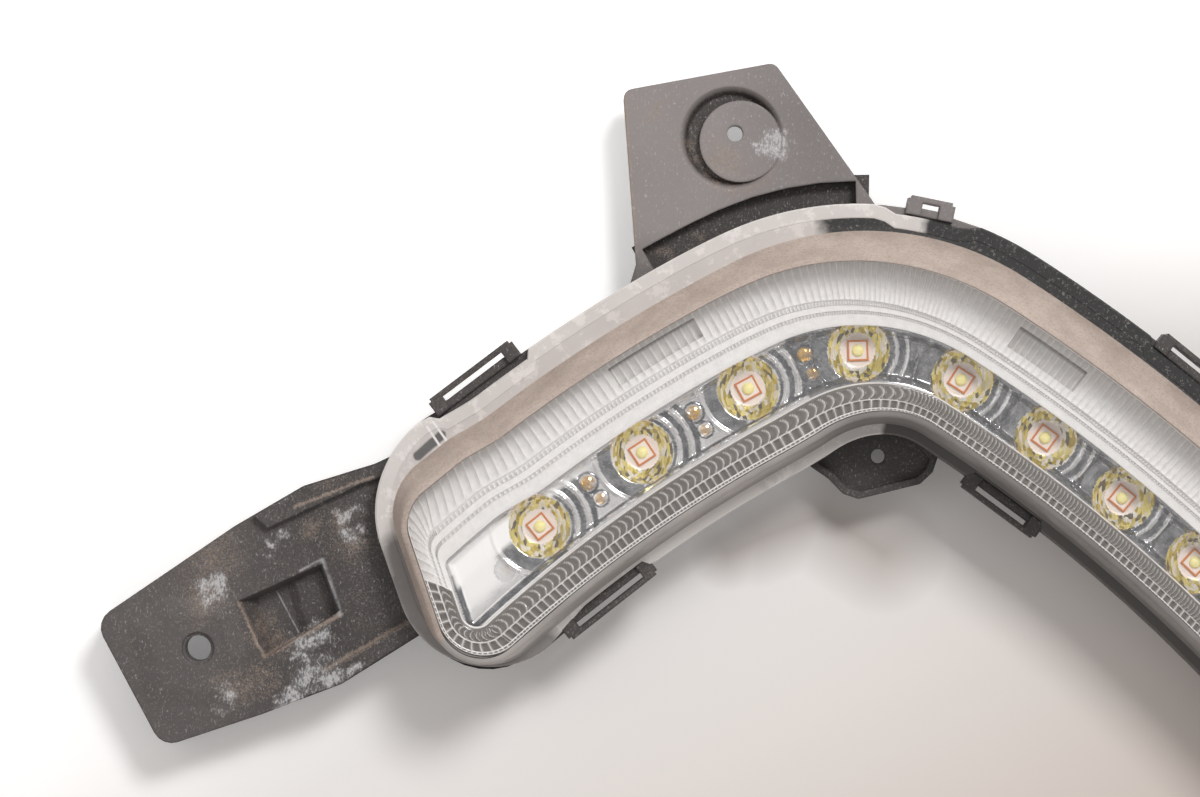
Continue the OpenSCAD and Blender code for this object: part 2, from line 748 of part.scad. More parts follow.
module cup_wall(i) {
    p = at(led_s(i));
    foot_d = led_base_d + 2 * (seat_gap + trough_t);
    post(p, foot_d, board_top, cup_z);
    post(p, foot_d, cup_z, trough_top - cup_lip, cup_d + 2 * cup_lip);
    on_spine(led_s(i)) for (r = [cup_d / 2 + arc_in, cup_d / 2 + arc_out])
        translate([0, 0, floor_z - eps]) rotate(-arc_turn / 2) rotate_extrude(angle = arc_turn)
            translate([r - arc_t / 2, 0]) square([arc_t, arc_h + eps]);
}

module cup_space(i) {
    p = at(led_s(i));
    post(p, led_base_d + 2 * seat_gap, board_top - over, cup_z + eps);
    post(p, led_base_d + 2 * seat_gap, cup_z, trough_top, cup_d);
}

module circuit_board() {
    color([0.85, 0.85, 0.82]) framed() difference() {
        slab(board_line, board_z, board_top);
        for (i = board_screw_gaps) post(board_hole(i), screw_d + gap, board_z - over, board_top + over);
    }
}

// LED: a round base, a square submount and a domed core
module led(i) {
    color([0.93, 0.86, 0.7]) framed() on_spine(led_s(i)) {
        translate([0, 0, board_top]) cylinder(d = led_base_d, h = led_base_h);
        translate([-led_square / 2, -led_square / 2, board_top + led_base_h - eps])
            cube([led_square, led_square, led_sub_h + eps]);
        translate([0, 0, board_top + led_base_h + led_sub_h]) intersection() {
            sphere(d = led_core_d);
            cylinder(d = led_core_d + over, h = led_core_d);
        }
    }
}

// Heat sink: a plate under the board with a fin across it between the screws
module heat_sink() {
    color([0.7, 0.7, 0.71]) framed() difference() {
        union() {
            slab(sink_line, plate_z, board_z);
            for (i = sink_screw_gaps) {
                post(at(mid_s(i), sink_screw_off), sink_boss_d, plate_z, board_z);
                on_spine(mid_s(i)) block(lug_side - sink_boss_d / 2, sink_boss_d / 2 - lug_side,
                                         up(sink_line, mid_s(i)) - fin_in, sink_screw_off,
                                         plate_z + lug_in, board_z - lug_in);
            }
            for (k = [0:fin_n - 1]) let (s = mix(fin_a, s_last - fin_a, k / (fin_n - 1)))
                if (min([for (i = board_screw_gaps) abs(s - mid_s(i))]) > fin_clear)
                    on_spine(s) block(-fin_t / 2, fin_t / 2, low(sink_line, s) + fin_in,
                                      up(sink_line, s) - fin_in,
                                      fin_z, plate_z + eps);
        }
        for (i = board_screw_gaps) post(board_hole(i), screw_d + gap, plate_z - over, board_z + over);
        for (p = sink_screw_pts) post(p, sink_screw_d + gap, plate_z - over, board_z + over);
    }
}

module board_screws() {
    color([0.6, 0.58, 0.5]) framed() for (i = board_screw_gaps) {
        post(board_hole(i), screw_d - gap, plate_z - eps, board_top + screw_end);
        post(board_hole(i), 2 * screw_d, plate_z - screw_head, plate_z);
    }
}

module sink_screws() {
    color([0.6, 0.58, 0.5]) framed() for (p = sink_screw_pts) {
        post(p, pilot_d - gap, sink_z - pilot_l + pilot_clear, board_z + eps);
        post(p, 2 * sink_screw_d, board_z, board_z + screw_head);
    }
}

// Driver board: a piece of a ring that follows the bend
module driver_board() {
    turn = deg((driver_b - driver_a) / bend_r);
    color([0.1, 0.3, 0.16]) framed() difference() {
        translate([c2[0], c2[1], driver_z])
            rotate_extrude(angle = turn, start = 90 + heading(driver_b))
            translate([bend_r + driver_in, 0]) square([driver_out - driver_in, board_t]);
        for (p = driver_post_pts) post(p, peg_d + gap, driver_z - over, driver_z + board_t + over);
        for (x = [-pin_x, pin_x]) socket_at()
            block(x - pin_t / 2 - gap / 2, x + pin_t / 2 + gap / 2, -pin_w / 2 - gap / 2,
                  pin_w / 2 + gap / 2, driver_z - over, driver_z + board_t + over);
    }
}

module driver_inductor() {
    color([0.2, 0.2, 0.2]) framed() {
        post(inductor, coil_d, driver_top, driver_top + coil_cheek);
        post(inductor, coil_wind_d, driver_top + coil_cheek - eps, driver_top + coil_h - coil_cheek + eps);
        post(inductor, coil_d, driver_top + coil_h - coil_cheek, driver_top + coil_h);
    }
}

module driver_capacitors() {
    color([0.35, 0.36, 0.4]) framed() for (p = capacitor_pts) {
        post(p, can_d, driver_top, driver_top + can_h - can_edge);
        post(p, can_d, driver_top + can_h - can_edge - eps, driver_top + can_h, can_d - 2 * can_edge);
    }
}

module driver_chip() {
    color([0.08, 0.08, 0.09]) framed() on_spine(chip_s, driver_in + chip_in) {
        block(-chip_l / 2, chip_l / 2, -chip_w / 2, chip_w / 2, driver_top + chip_up, driver_top + chip_h);
        for (k = [0:3], side = [0, 1]) mirror([0, side, 0])
            translate([(k - 1.5) * lead_pitch, 0, 0])
                block(-lead_w / 2, lead_w / 2, chip_w / 2 - eps, chip_w / 2 + lead_l,
                      driver_top, driver_top + lead_h);
    }
}

module terminal_pins() {
    color([0.8, 0.7, 0.4]) framed() for (x = [-pin_x, pin_x]) socket_at()
        block(x - pin_t / 2, x + pin_t / 2, -pin_w / 2, pin_w / 2, pin_z, driver_top + pin_rise);
}

// Flat jumper from the driver board to the LED board, bent like a bridge
module jumper_ribbon() {
    color([0.75, 0.75, 0.72]) framed() on_spine(jumper_s) {
        y0 = up(board_line, jumper_s) - jumper_foot;
        y1 = driver_in + jumper_lap;
        top = driver_top + jumper_rise;
        block(-jumper_w / 2, jumper_w / 2, y0, y0 + jumper_t, board_top, top);
        block(-jumper_w / 2, jumper_w / 2, y0, y1, top - jumper_t, top);
        block(-jumper_w / 2, jumper_w / 2, y1 - jumper_t, y1, driver_top, top);
    }
}

module vent_cap() {
    color([0.2, 0.2, 0.21]) framed() difference() {
        post(vent, vent_d - gap, vent_deep - cap_h, vent_deep);
        post(vent, vent_d - 2 * cap_wall, vent_deep - cap_h + cap_roof, vent_deep + over);
        for (a = [0:60:300]) translate([vent[0], vent[1], 0]) rotate(a)
            block(vent_hole_d / 2, vent_d, -cap_slot / 2, cap_slot / 2, vent_deep - cap_h + cap_roof,
                  vent_deep - cap_roof);
    }
}

module vent_membrane() {
    color([0.95, 0.95, 0.93]) framed()
        post(vent, vent_hole_d + 2 * membrane_out, vent_top, vent_top + membrane_t);
}

housing();
outer_lens();
lens_seal();
fluted_bezel();
led_trough();
circuit_board();
heat_sink();
board_screws();
sink_screws();
driver_board();
driver_inductor();
driver_capacitors();
driver_chip();
terminal_pins();
jumper_ribbon();
vent_cap();
vent_membrane();
for (i = [1:led_count]) led(i - 1);
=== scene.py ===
"""Daytime running light: visible pieces, materials, stage and camera."""
import math

import bpy
import numpy as np
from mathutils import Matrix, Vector


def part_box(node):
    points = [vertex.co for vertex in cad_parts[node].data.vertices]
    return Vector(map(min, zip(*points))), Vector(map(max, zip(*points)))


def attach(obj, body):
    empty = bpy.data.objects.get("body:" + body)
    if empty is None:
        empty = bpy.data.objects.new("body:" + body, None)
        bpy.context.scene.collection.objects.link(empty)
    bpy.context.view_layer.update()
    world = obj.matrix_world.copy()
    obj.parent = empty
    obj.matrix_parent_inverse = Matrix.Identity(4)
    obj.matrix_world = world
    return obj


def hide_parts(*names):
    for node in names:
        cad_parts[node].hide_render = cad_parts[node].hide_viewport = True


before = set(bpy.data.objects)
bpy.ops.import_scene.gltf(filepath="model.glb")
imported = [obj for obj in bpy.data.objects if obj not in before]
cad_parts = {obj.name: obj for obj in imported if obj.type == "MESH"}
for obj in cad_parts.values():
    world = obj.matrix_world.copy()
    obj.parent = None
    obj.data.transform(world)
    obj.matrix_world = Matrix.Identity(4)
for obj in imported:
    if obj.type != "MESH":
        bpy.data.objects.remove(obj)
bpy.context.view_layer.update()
MM = 0.001

# Spine of the lamp, as in the part's source: three tangent arcs through the LED centres, in mm
SPINE_HEADING = 38.5
ARM_LEFT_R, ARM_LEFT_L = 361.0, 73.4
BEND_R, BEND_L = 44.0, 45.8
ARM_RIGHT_R = 426.0
LED_COUNT = 9
PITCH_FIRST, PITCH_LAST, PITCH_EASE = 31.75, 24.5, 5.4
LEFT_RISE, RISE_A, RISE_B = 1.8, -8.0, 8.0
BLEND_A, BLEND_B = 62.0, 120.0
END_SLANT = 24.0
RIGHT_ROUND = 0.55
STATION_FIRST = -4.0

# Heights of the part's source, in mm
JOINT_Z, FLANGE_Z, LAMP_H = 21.0, 23.4, 36.0
BOARD_TOP = 15.6
LENS_T, LENS_CROWN = 1.8, 0.5
TROUGH_FLOOR = 19.8

# Outlines as in the part's source: upper offset left, right, lower offset left, right,
# end distance, upper and lower corner radius
RIM = (37.6, 36.0, -24.4, -19.6, 38.5, 27.5, 23.0)
FOOT = (29.5, 29.5, -21.3, -16.6, 33.8, 15.0, 15.5)
FRONT = (25.2, 22.6, -19.6, -15.4, 32.6, 12.0, 12.5)


def inset(o, t):
    """The outline o moved inwards by t."""
    return (o[0] - t, o[1] - t, o[2] + t, o[3] + t, o[4] - t, max(o[5] - t, 1.0), max(o[6] - t, 1.0))


WALL = inset(FOOT, 1.8)
SKIRT = inset(WALL, 0.5)
BAND_OUT = (24.4, 21.4, -18.0, -13.7, 31.0, 11.0, 11.5)
BAND_IN = (15.0, 10.6, -14.2, -11.2, 28.2, 5.0, 8.0)
MOUTH = (7.0, 5.6, -9.6, -7.0, 25.2, 2.5, 3.8)


def ease(t):
    """Smooth step from 0 to 1, on numbers or arrays."""
    u = np.clip(t, 0.0, 1.0)
    return u * u * (3 - 2 * u)


def mix(a, b, t):
    """Value between a and b, a at 0 and b at 1."""
    return a + (b - a) * t


def right_of(h):
    """Unit vector to the right of heading h, in degrees."""
    return np.array([np.sin(np.radians(h)), -np.cos(np.radians(h))])


HEAD_1 = SPINE_HEADING - math.degrees(ARM_LEFT_L / ARM_LEFT_R)
HEAD_2 = HEAD_1 - math.degrees(BEND_L / BEND_R)
CENTRE_1 = ARM_LEFT_R * right_of(SPINE_HEADING)
JOIN_1 = CENTRE_1 - ARM_LEFT_R * right_of(HEAD_1)
CENTRE_2 = JOIN_1 + BEND_R * right_of(HEAD_1)
JOIN_2 = CENTRE_2 - BEND_R * right_of(HEAD_2)
CENTRE_3 = JOIN_2 + ARM_RIGHT_R * right_of(HEAD_2)


def heading(s):
    """Heading of the spine at s, in degrees."""
    s = np.asarray(s, float)
    left = SPINE_HEADING - np.degrees(s / ARM_LEFT_R)
    bend = HEAD_1 - np.degrees((s - ARM_LEFT_L) / BEND_R)
    right = HEAD_2 - np.degrees((s - ARM_LEFT_L - BEND_L) / ARM_RIGHT_R)
    return np.where(s < ARM_LEFT_L, left, np.where(s < ARM_LEFT_L + BEND_L, bend, right))


def at(s, d=0.0):
    """Point of the spine's plane at s, and d to its outer side, as an array [..., 2]."""
    s, d = np.broadcast_arrays(np.asarray(s, float), np.asarray(d, float))
    h = np.radians(heading(s))
    out = np.stack([-np.sin(h), np.cos(h)], -1)
    left = (s < ARM_LEFT_L)[..., None]
    bend = (s < ARM_LEFT_L + BEND_L)[..., None]
    centre = np.where(left, CENTRE_1, np.where(bend, CENTRE_2, CENTRE_3))
    radius = np.where(left, ARM_LEFT_R, np.where(bend, BEND_R, ARM_RIGHT_R))
    return centre + (radius + d[..., None]) * out


def led_places():
    """Places of the LEDs along the spine."""
    places = [0.0]
    for i in range(LED_COUNT - 1):
        fall = (1 - math.cos(math.pi * min(i / PITCH_EASE, 1))) / 2
        places.append(places[-1] + mix(PITCH_FIRST, PITCH_LAST, fall))
    return places


LED_S = led_places()
S_LAST = LED_S[-1]
FIRST_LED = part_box("led_1")
SHIFT = (np.array(FIRST_LED[0]) + np.array(FIRST_LED[1]))[:2] / 2 / MM


def to_frame(xy, z):
    """Points in metres in the shared frame, from spine points and heights in mm."""
    z = np.broadcast_to(np.asarray(z, float), xy.shape[:-1])
    return np.concatenate([xy + SHIFT, z[..., None]], -1) * MM


def arm_share(s):
    """Share of the right arm's section at s."""
    return ease((s - BLEND_A) / (BLEND_B - BLEND_A))


def upper(o, s):
    """Offset of the upper side of the outline o at s."""
    s = np.asarray(s, float)
    return mix(o[0], o[1], arm_share(s)) + LEFT_RISE * (1 - ease((s - RISE_A) / (RISE_B - RISE_A)))


def lower(o, s):
    """Offset of its lower side at s."""
    return mix(o[2], o[3], arm_share(np.asarray(s, float)))


def end_arc(o, u, l, n_low, n_up):
    """Corner arcs of one end, from the lower line to the upper one, as [s, d] rows."""
    slant = math.radians(END_SLANT)

    def arc(cd, r, angles):
        cs = (cd * math.sin(slant) - (o[4] - r)) / math.cos(slant)
        return np.stack([cs + r * np.cos(angles), cd + r * np.sin(angles)], -1)

    low = arc(l + o[6], o[6], np.radians(np.linspace(270, 180 - END_SLANT, n_low)))
    up = arc(u - o[5], o[5], np.radians(np.linspace(180 - END_SLANT, 90, n_up)))
    return np.concatenate([low, up])


def tighter(o):
    """The outline with the smaller corners of the right end."""
    return o[:5] + (o[5] * RIGHT_ROUND, o[6] * RIGHT_ROUND)


def outline(o, top, bottom, n_low, n_up, n_end=0):
    """Closed outline as rows of [s, d]: left end, upper side, right end, lower side."""

    def end(shape, u, l):
        arcs = end_arc(shape, u, l, n_low, n_up)
        a, b = arcs[n_low - 1], arcs[n_low]
        line = a + (b - a) * np.linspace(0, 1, n_end + 2)[1:-1, None]
        return np.concatenate([arcs[:n_low], line, arcs[n_low:]])

    left = end(o, float(upper(o, RISE_A)), float(lower(o, RISE_A)))
    right = end(tighter(o), float(upper(o, S_LAST)), float(lower(o, S_LAST)))[::-1]
    right = np.stack([S_LAST - right[:, 0], right[:, 1]], -1)
    over = np.stack([top, upper(o, top)], -1)
    under = np.stack([bottom, lower(o, bottom)], -1)[::-1]
    return np.concatenate([left, over, right, under])


def stations(step):
    """Even stations along the spine, about a step apart."""
    n = round((S_LAST - 2 * STATION_FIRST) / step)
    return np.linspace(STATION_FIRST, S_LAST - STATION_FIRST, n + 1)


def new_object(name, verts, faces, mats, slots=None, smooth=None):
    """Mesh object from arrays, with one material index per face and smooth shading up to an angle."""
    mesh = bpy.data.meshes.new(name)
    mesh.from_pydata([tuple(v) for v in verts], [], [tuple(int(i) for i in f) for f in faces])
    for m in mats:
        mesh.materials.append(m)
    if slots is not None:
        mesh.polygons.foreach_set("material_index", np.asarray(slots, np.int32))
    if smooth is not None:
        mesh.polygons.foreach_set("use_smooth", np.ones(len(mesh.polygons), bool))
        mesh.set_sharp_from_angle(angle=math.radians(smooth))
    mesh.update()
    obj = bpy.data.objects.new(name, mesh)
    bpy.context.scene.collection.objects.link(obj)
    return obj


def point_values(obj, name, values):
    """Stores one number per vertex, which a material reads."""
    layer = obj.data.attributes.new(name, "FLOAT", "POINT")
    layer.data.foreach_set("value", np.asarray(values, np.float32).ravel())


def quads(rows, cols, close_cols=False, close_rows=False):
    """Faces of a grid of rows by cols points, row by row."""
    r = np.arange(rows if close_rows else rows - 1)
    c = np.arange(cols if close_cols else cols - 1)
    j, i = np.meshgrid(r, c, indexing="ij")
    a = j * cols + i
    b = j * cols + (i + 1) % cols
    d = ((j + 1) % rows) * cols + i
    e = ((j + 1) % rows) * cols + (i + 1) % cols
    return np.stack([a, b, e, d], -1).reshape(-1, 4)


# Photograph's frame: size in px, scale and the height in mm that it holds for, pixel of the first LED
PHOTO_W, PHOTO_H, PX_PER_MM, SCALE_Z = 1200, 797, 4.0, 25.0
LED_PX = (539.5, 527.3)
# Pixels of the photograph where the housing carries brown dust or white scuffs, with radii
BROWN_SPOTS = [(258, 626, 22), (272, 646, 20), (264, 676, 18), (262, 690, 14), (304, 530, 16), (338, 520, 26),
               (346, 546, 26), (212, 560, 40), (202, 600, 40), (330, 470, 26), (232, 690, 34), (724, 158, 30),
               (690, 140, 12), (697, 158, 13), (706, 170, 13), (718, 179, 13), (732, 184, 13), (746, 184, 13),
               (760, 178, 12), (771, 168, 10), (660, 250, 14), (700, 230, 12), (655, 110, 14)]
WHITE_SPOTS = [(304, 648, 20), (316, 640, 16), (306, 672, 16), (300, 684, 20), (326, 682, 24), (352, 672, 16),
               (284, 700, 14), (342, 514, 16), (346, 536, 14), (288, 492, 12), (274, 540, 12), (226, 700, 18),
               (212, 590, 16), (774, 144, 15), (780, 150, 12), (766, 136, 9), (788, 140, 8)]
# The same along worn or dusty edges, from pixel to pixel, with half widths
WHITE_LINES = [(273, 594, 295, 635, 1.2), (320, 562, 338, 616, 4.0), (321, 560, 298, 572, 2.0)]
BROWN_LINES = [(262, 659, 338, 616, 4.5), (321, 673, 411, 621, 4.0), (293, 508, 372, 476, 3.0),
               (236, 604, 262, 659, 3.0), (625, 92, 636, 250, 3.0)]
# Painted shadow on the floor, deepest inside the bend
FLOOR_DIM = [(730, 556, 760, 542, 40), (760, 542, 830, 516, 50), (830, 516, 888, 555, 66)]
# Flange of the lens: dark lower left corner, pale strip under the left arm, grey bar and two pale lines
LOW_CORNER = [(397, 548, 404, 579, 20), (404, 579, 421, 616, 24), (421, 616, 452, 653, 26),
              (452, 653, 486, 663, 26), (486, 663, 545, 644, 22)]
LOW_STRIP = [(662, 556, 754, 499, 15)]
FLANGE_BAR = [(418, 456, 441, 435, 6.0)]
FLANGE_MARKS = [(427, 427, 441, 448, 1.6), (433, 422, 448, 443, 1.6)]


# Materials

class Nodes:
    """Short names for building a node material."""

    def __init__(self, name, blend=False):
        self.mat = bpy.data.materials.new(name)
        self.mat.use_nodes = True
        self.tree = self.mat.node_tree
        self.bsdf = self.tree.nodes["Principled BSDF"]
        if blend:
            self.mat.surface_render_method = "BLENDED"

    def add(self, kind, **values):
        """New node, with properties or inputs set by name."""
        node = self.tree.nodes.new(kind)
        for key, value in values.items():
            if hasattr(node, key):
                setattr(node, key, value)
            else:
                node.inputs[key.replace("_", " ")].default_value = value
        return node

    def link(self, a, b):
        self.tree.links.new(a, b)

    def position(self):
        """Place in metres, which every object shares with the frame."""
        return self.add("ShaderNodeTexCoord").outputs["Object"]

    def noise(self, scale, detail=4.0, rough=0.5, stretch=None):
        """Noise from about 0.3 to 0.7."""
        coord = self.position()
        if stretch:
            mapping = self.add("ShaderNodeMapping", Scale=stretch)
            self.link(coord, mapping.inputs["Vector"])
            coord = mapping.outputs["Vector"]
        node = self.add("ShaderNodeTexNoise", Scale=scale, Detail=detail, Roughness=rough)
        self.link(coord, node.inputs["Vector"])
        return node.outputs["Fac"]

    def ramp(self, value, lo, hi, a=0.0, b=1.0):
        """Straight ramp, a at lo and b at hi, held beyond them."""
        node = self.add("ShaderNodeMapRange", clamp=True, From_Min=lo, From_Max=hi, To_Min=a, To_Max=b)
        self.link(value, node.inputs["Value"])
        return node.outputs["Result"]

    def math(self, op, a, b):
        """Result of an operation on numbers or sockets."""
        node = self.add("ShaderNodeMath", operation=op)
        for k, v in enumerate((a, b)):
            if isinstance(v, (int, float)):
                node.inputs[k].default_value = v
            else:
                self.link(v, node.inputs[k])
        return node.outputs[0]

    def vector(self, op, *values):
        """Node for an operation on vectors, given as tuples or sockets."""
        node = self.add("ShaderNodeVectorMath", operation=op)
        for socket, v in zip(node.inputs, values):
            if isinstance(v, tuple):
                socket.default_value = v
            else:
                self.link(v, socket)
        return node

    def blend(self, fac, a, b):
        """Colour a at 0 and b at 1."""
        node = self.add("ShaderNodeMix", data_type="RGBA")
        self.link(fac, node.inputs["Factor"])
        for key, v in (("A", a), ("B", b)):
            socket = [s for s in node.inputs if s.name == key and s.type == "RGBA"][0]
            if isinstance(v, tuple):
                socket.default_value = (*v, 1.0)
            else:
                self.link(v, socket)
        return [s for s in node.outputs if s.type == "RGBA"][0]

    def value(self, name):
        """Number stored on the mesh's vertices."""
        return self.add("ShaderNodeAttribute", attribute_name=name).outputs["Fac"]

    def set(self, **values):
        """Shader inputs by name, from numbers, colours or sockets."""
        for key, v in values.items():
            socket = self.bsdf.inputs[key.replace("_", " ")]
            if isinstance(v, (int, float, tuple)):
                socket.default_value = v if not isinstance(v, tuple) or len(v) == 4 else (*v, 1.0)
            else:
                self.link(v, socket)
        return self

    def bump(self, height, strength, distance):
        """Fine relief of the finish, with its depth in metres."""
        node = self.add("ShaderNodeBump", Strength=strength, Distance=distance)
        self.link(height, node.inputs["Height"])
        self.link(node.outputs["Normal"], self.bsdf.inputs["Normal"])
        return node


def photo_spot(x, y):
    """Place in the shared frame, in metres, of a pixel of the photograph, exact at the height SCALE_Z."""
    place = np.array([x - LED_PX[0], LED_PX[1] - y]) / PX_PER_MM
    return tuple(float(v) for v in to_frame(place, 0.0)[:2])


def flat_position(m, warp=0.0):
    """Place seen from above, bent a little by noise so that no edge is round or straight."""
    place = m.position()
    if warp:
        noise = m.add("ShaderNodeTexNoise", Scale=160.0, Detail=4.0, Roughness=0.6)
        m.link(place, noise.inputs["Vector"])
        shift = m.vector("MULTIPLY_ADD", noise.outputs["Color"], (warp, warp, 0), place)
        place = m.vector("SUBTRACT", shift.outputs[0], (warp / 2, warp / 2, 0)).outputs[0]
    return m.vector("MULTIPLY", place, (1, 1, 0)).outputs[0]


def greatest(m, values):
    """Greatest of several sockets."""
    total = values[0]
    for value in values[1:]:
        total = m.math("MAXIMUM", total, value)
    return total


def near_spots(m, spots, warp=0.008):
    """Envelope that falls from 1 at the given pixels of the photograph to 0 at their radii."""
    flat = flat_position(m, warp)
    values = []
    for x, y, radius in spots:
        gap = m.vector("DISTANCE", flat, (*photo_spot(x, y), 0))
        values.append(m.ramp(gap.outputs["Value"], radius * MM / PX_PER_MM, 0.0))
    return greatest(m, values)


def near_lines(m, lines, warp=0.0015):
    """The same about lines from pixel to pixel, given with their half widths."""
    flat = flat_position(m, warp)
    values = []
    for x0, y0, x1, y1, half in lines:
        a, b = np.array(photo_spot(x0, y0)), np.array(photo_spot(x1, y1))
        run = b - a
        rel = m.vector("SUBTRACT", flat, (*a, 0)).outputs[0]
        dot = m.vector("DOT_PRODUCT", rel, (*(run / (run @ run)), 0))
        along = m.vector("SCALE", (*run, 0))
        m.link(m.ramp(dot.outputs["Value"], 0.0, 1.0), along.inputs["Scale"])
        gap = m.vector("DISTANCE", rel, along.outputs[0])
        values.append(m.ramp(gap.outputs["Value"], half * MM / PX_PER_MM, 0.0))
    return greatest(m, values)


def broken(m, envelope, scale, cover=0.3, edge=0.05, stretch=None):
    """Fine specks that lie denser where the envelope is high."""
    grain = m.noise(scale, 6, 0.72, stretch)
    return m.ramp(m.math("ADD", grain, m.math("MULTIPLY", envelope, cover)), 0.66 - edge, 0.66 + edge)


def black_plastic():
    """Charcoal plastic of the housing, with a painted sheen on the top ear, painted shade in its hollows and
    on the lower ear, and dust and scuffs.
    """
    m = Nodes("black_plastic")
    split = m.add("ShaderNodeSeparateXYZ")
    m.link(m.position(), split.inputs[0])
    x, y, z = split.outputs
    haze = m.noise(26, 6, 0.62)
    base = m.blend(haze, (0.06, 0.053, 0.051), (0.115, 0.103, 0.1))
    near_lamp = m.ramp(m.math("ADD", x, m.math("MULTIPLY", haze, 0.03)), -0.125, -0.1)
    base = m.blend(near_lamp, base, m.blend(haze, (0.036, 0.031, 0.03), (0.07, 0.062, 0.06)))
    # Painted sheen of the light from above on the top ear, stronger on its left half
    top_ear_sheen = m.blend(haze, (0.2, 0.178, 0.173), (0.31, 0.28, 0.272))
    right_half = m.blend(haze, (0.15, 0.136, 0.134), (0.235, 0.212, 0.208))
    top_ear_sheen = m.blend(m.ramp(x, -0.012, 0.012), top_ear_sheen, right_half)
    # Painted shade: the hollows of the top ear stay dark, without the painted sheen
    top_ear_sheen = m.blend(m.ramp(z, 0.0149, 0.0138), top_ear_sheen, (0.04, 0.034, 0.032))
    base = m.blend(m.ramp(y, 0.03, 0.05), base, top_ear_sheen)
    # Painted shade on the lower ear, inside the bend
    inner = m.math("MULTIPLY", m.ramp(x, -0.03, 0.03), m.ramp(y, 0.04, 0.01))
    base = m.blend(inner, base, m.blend(haze, (0.035, 0.031, 0.03), (0.06, 0.054, 0.052)))
    # Fine pale and brown grime, least on the lower ear
    patches = m.ramp(m.noise(45, 6, 0.65), 0.45, 0.65)
    grime = m.math("MULTIPLY", patches, m.ramp(m.noise(1900, 5, 0.8), 0.5, 0.66))
    grime = m.math("MULTIPLY", grime, m.ramp(inner, 0.0, 1.0, 0.6, 0.1))
    base = m.blend(grime, base, m.blend(haze, (0.2, 0.17, 0.15), (0.26, 0.245, 0.24)))
    brown = broken(m, near_spots(m, BROWN_SPOTS, 0.014), 2100.0, 0.2, 0.09)
    earth = m.blend(m.noise(1300, 3), (0.1, 0.075, 0.055), (0.5, 0.38, 0.3))
    base = m.blend(m.math("MULTIPLY", brown, 0.62), base, earth)
    crease = broken(m, near_lines(m, BROWN_LINES), 1500.0, 0.3, 0.09)
    base = m.blend(m.math("MULTIPLY", crease, 0.7), base, (0.33, 0.255, 0.205))
    film = near_spots(m, WHITE_SPOTS, 0.016)
    base = m.blend(m.math("MULTIPLY", film, 0.22), base, (0.5, 0.49, 0.5))
    scuff = broken(m, film, 1900.0, 0.24, 0.08, (1.0, 0.5, 1.0))
    chalk = m.blend(m.noise(2600, 2), (0.3, 0.29, 0.29), (0.85, 0.85, 0.86))
    base = m.blend(m.math("MULTIPLY", scuff, 0.75), base, chalk)
    patchy = m.ramp(m.noise(700, 4), 0.35, 0.55, 0.25, 0.8)
    worn = m.math("MULTIPLY", near_lines(m, WHITE_LINES, 0.0004), patchy)
    base = m.blend(worn, base, (0.42, 0.41, 0.42))
    m.set(Base_Color=base, Roughness=m.ramp(haze, 0.3, 0.7, 0.42, 0.6))
    bevel = m.add("ShaderNodeBevel", samples=4, Radius=0.0008)
    bump = m.bump(m.noise(1400, 3), 0.25, 0.0002)
    m.link(bevel.outputs["Normal"], bump.inputs["Normal"])
    return m.mat


def simple(name, color, rough=0.5, metal=0.0, var=0.12):
    """Plain finish with a fine grain and a little unevenness."""
    m = Nodes(name)
    low_tone = tuple(c * (1 - var) for c in color)
    m.set(Base_Color=m.blend(m.noise(60, 4), low_tone, color), Metallic=metal)
    m.set(Roughness=m.ramp(m.noise(200, 3), 0.3, 0.7, rough - 0.06, rough + 0.06))
    m.bump(m.noise(900.0, 2), 0.1, 0.0001)
    return m.mat


def silvered():
    """Silvered, fluted plastic under a clear lens: painted highlights on the pale crests and a brown painted
    shade in the hollows.
    """
    m = Nodes("silvered_flutes")
    tone = m.blend(m.noise(70, 4), (0.93, 0.9, 0.88), (1.0, 0.99, 0.98))
    shadow = m.blend(m.noise(160, 4), (0.08, 0.067, 0.057), (0.14, 0.12, 0.105))
    shade = m.math("MULTIPLY", m.value("shade"), m.ramp(m.noise(520, 5, 0.7), 0.35, 0.6, 0.9, 1.0))
    m.set(Base_Color=m.blend(shade, shadow, tone), Metallic=0.0)
    m.set(Roughness=m.ramp(m.noise(300, 3), 0.3, 0.7, 0.16, 0.26))
    return m.mat


def mirror():
    """Plating of the trough with painted reflections: dark beside the arcs, bright elsewhere, amber glints of
    the LEDs in the saddles, and a white glare.
    """
    m = Nodes("mirror_plating")
    cloud = m.noise(260, 5, 0.7)
    # Painted reflections: dark beside the arcs and bright elsewhere, after the stored brightness
    dark_reflection = m.blend(m.ramp(m.noise(1500, 4, 0.75), 0.55, 0.68), (0.1, 0.108, 0.125), (0.4, 0.41, 0.44))
    tone = m.blend(m.noise(50, 3), (0.8, 0.8, 0.82), (0.97, 0.97, 0.97))
    base = m.blend(m.math("ADD", m.value("reflected_light"), m.ramp(cloud, 0.35, 0.65, -0.2, 0.2)), dark_reflection, tone)
    # Painted amber reflections of the LEDs in the saddles
    led_reflection = m.blend(m.noise(800, 4, 0.7), (0.5, 0.13, 0.03), (0.95, 0.75, 0.25))
    glint = m.math("MULTIPLY", m.value("led_reflection"), m.ramp(m.noise(1100, 3), 0.35, 0.55, 0.3, 1.0))
    base = m.blend(glint, base, led_reflection)
    glare = m.value("glare")
    base = m.blend(glare, base, (1.0, 0.99, 0.98))
    m.set(Base_Color=base, Metallic=m.math("SUBTRACT", 0.75, m.math("MULTIPLY", glare, 0.75)))
    rough = m.ramp(m.noise(240, 3), 0.3, 0.7, 0.07, 0.16)
    m.set(Roughness=m.math("ADD", rough, m.math("MULTIPLY", glare, 0.5)))
    return m.mat


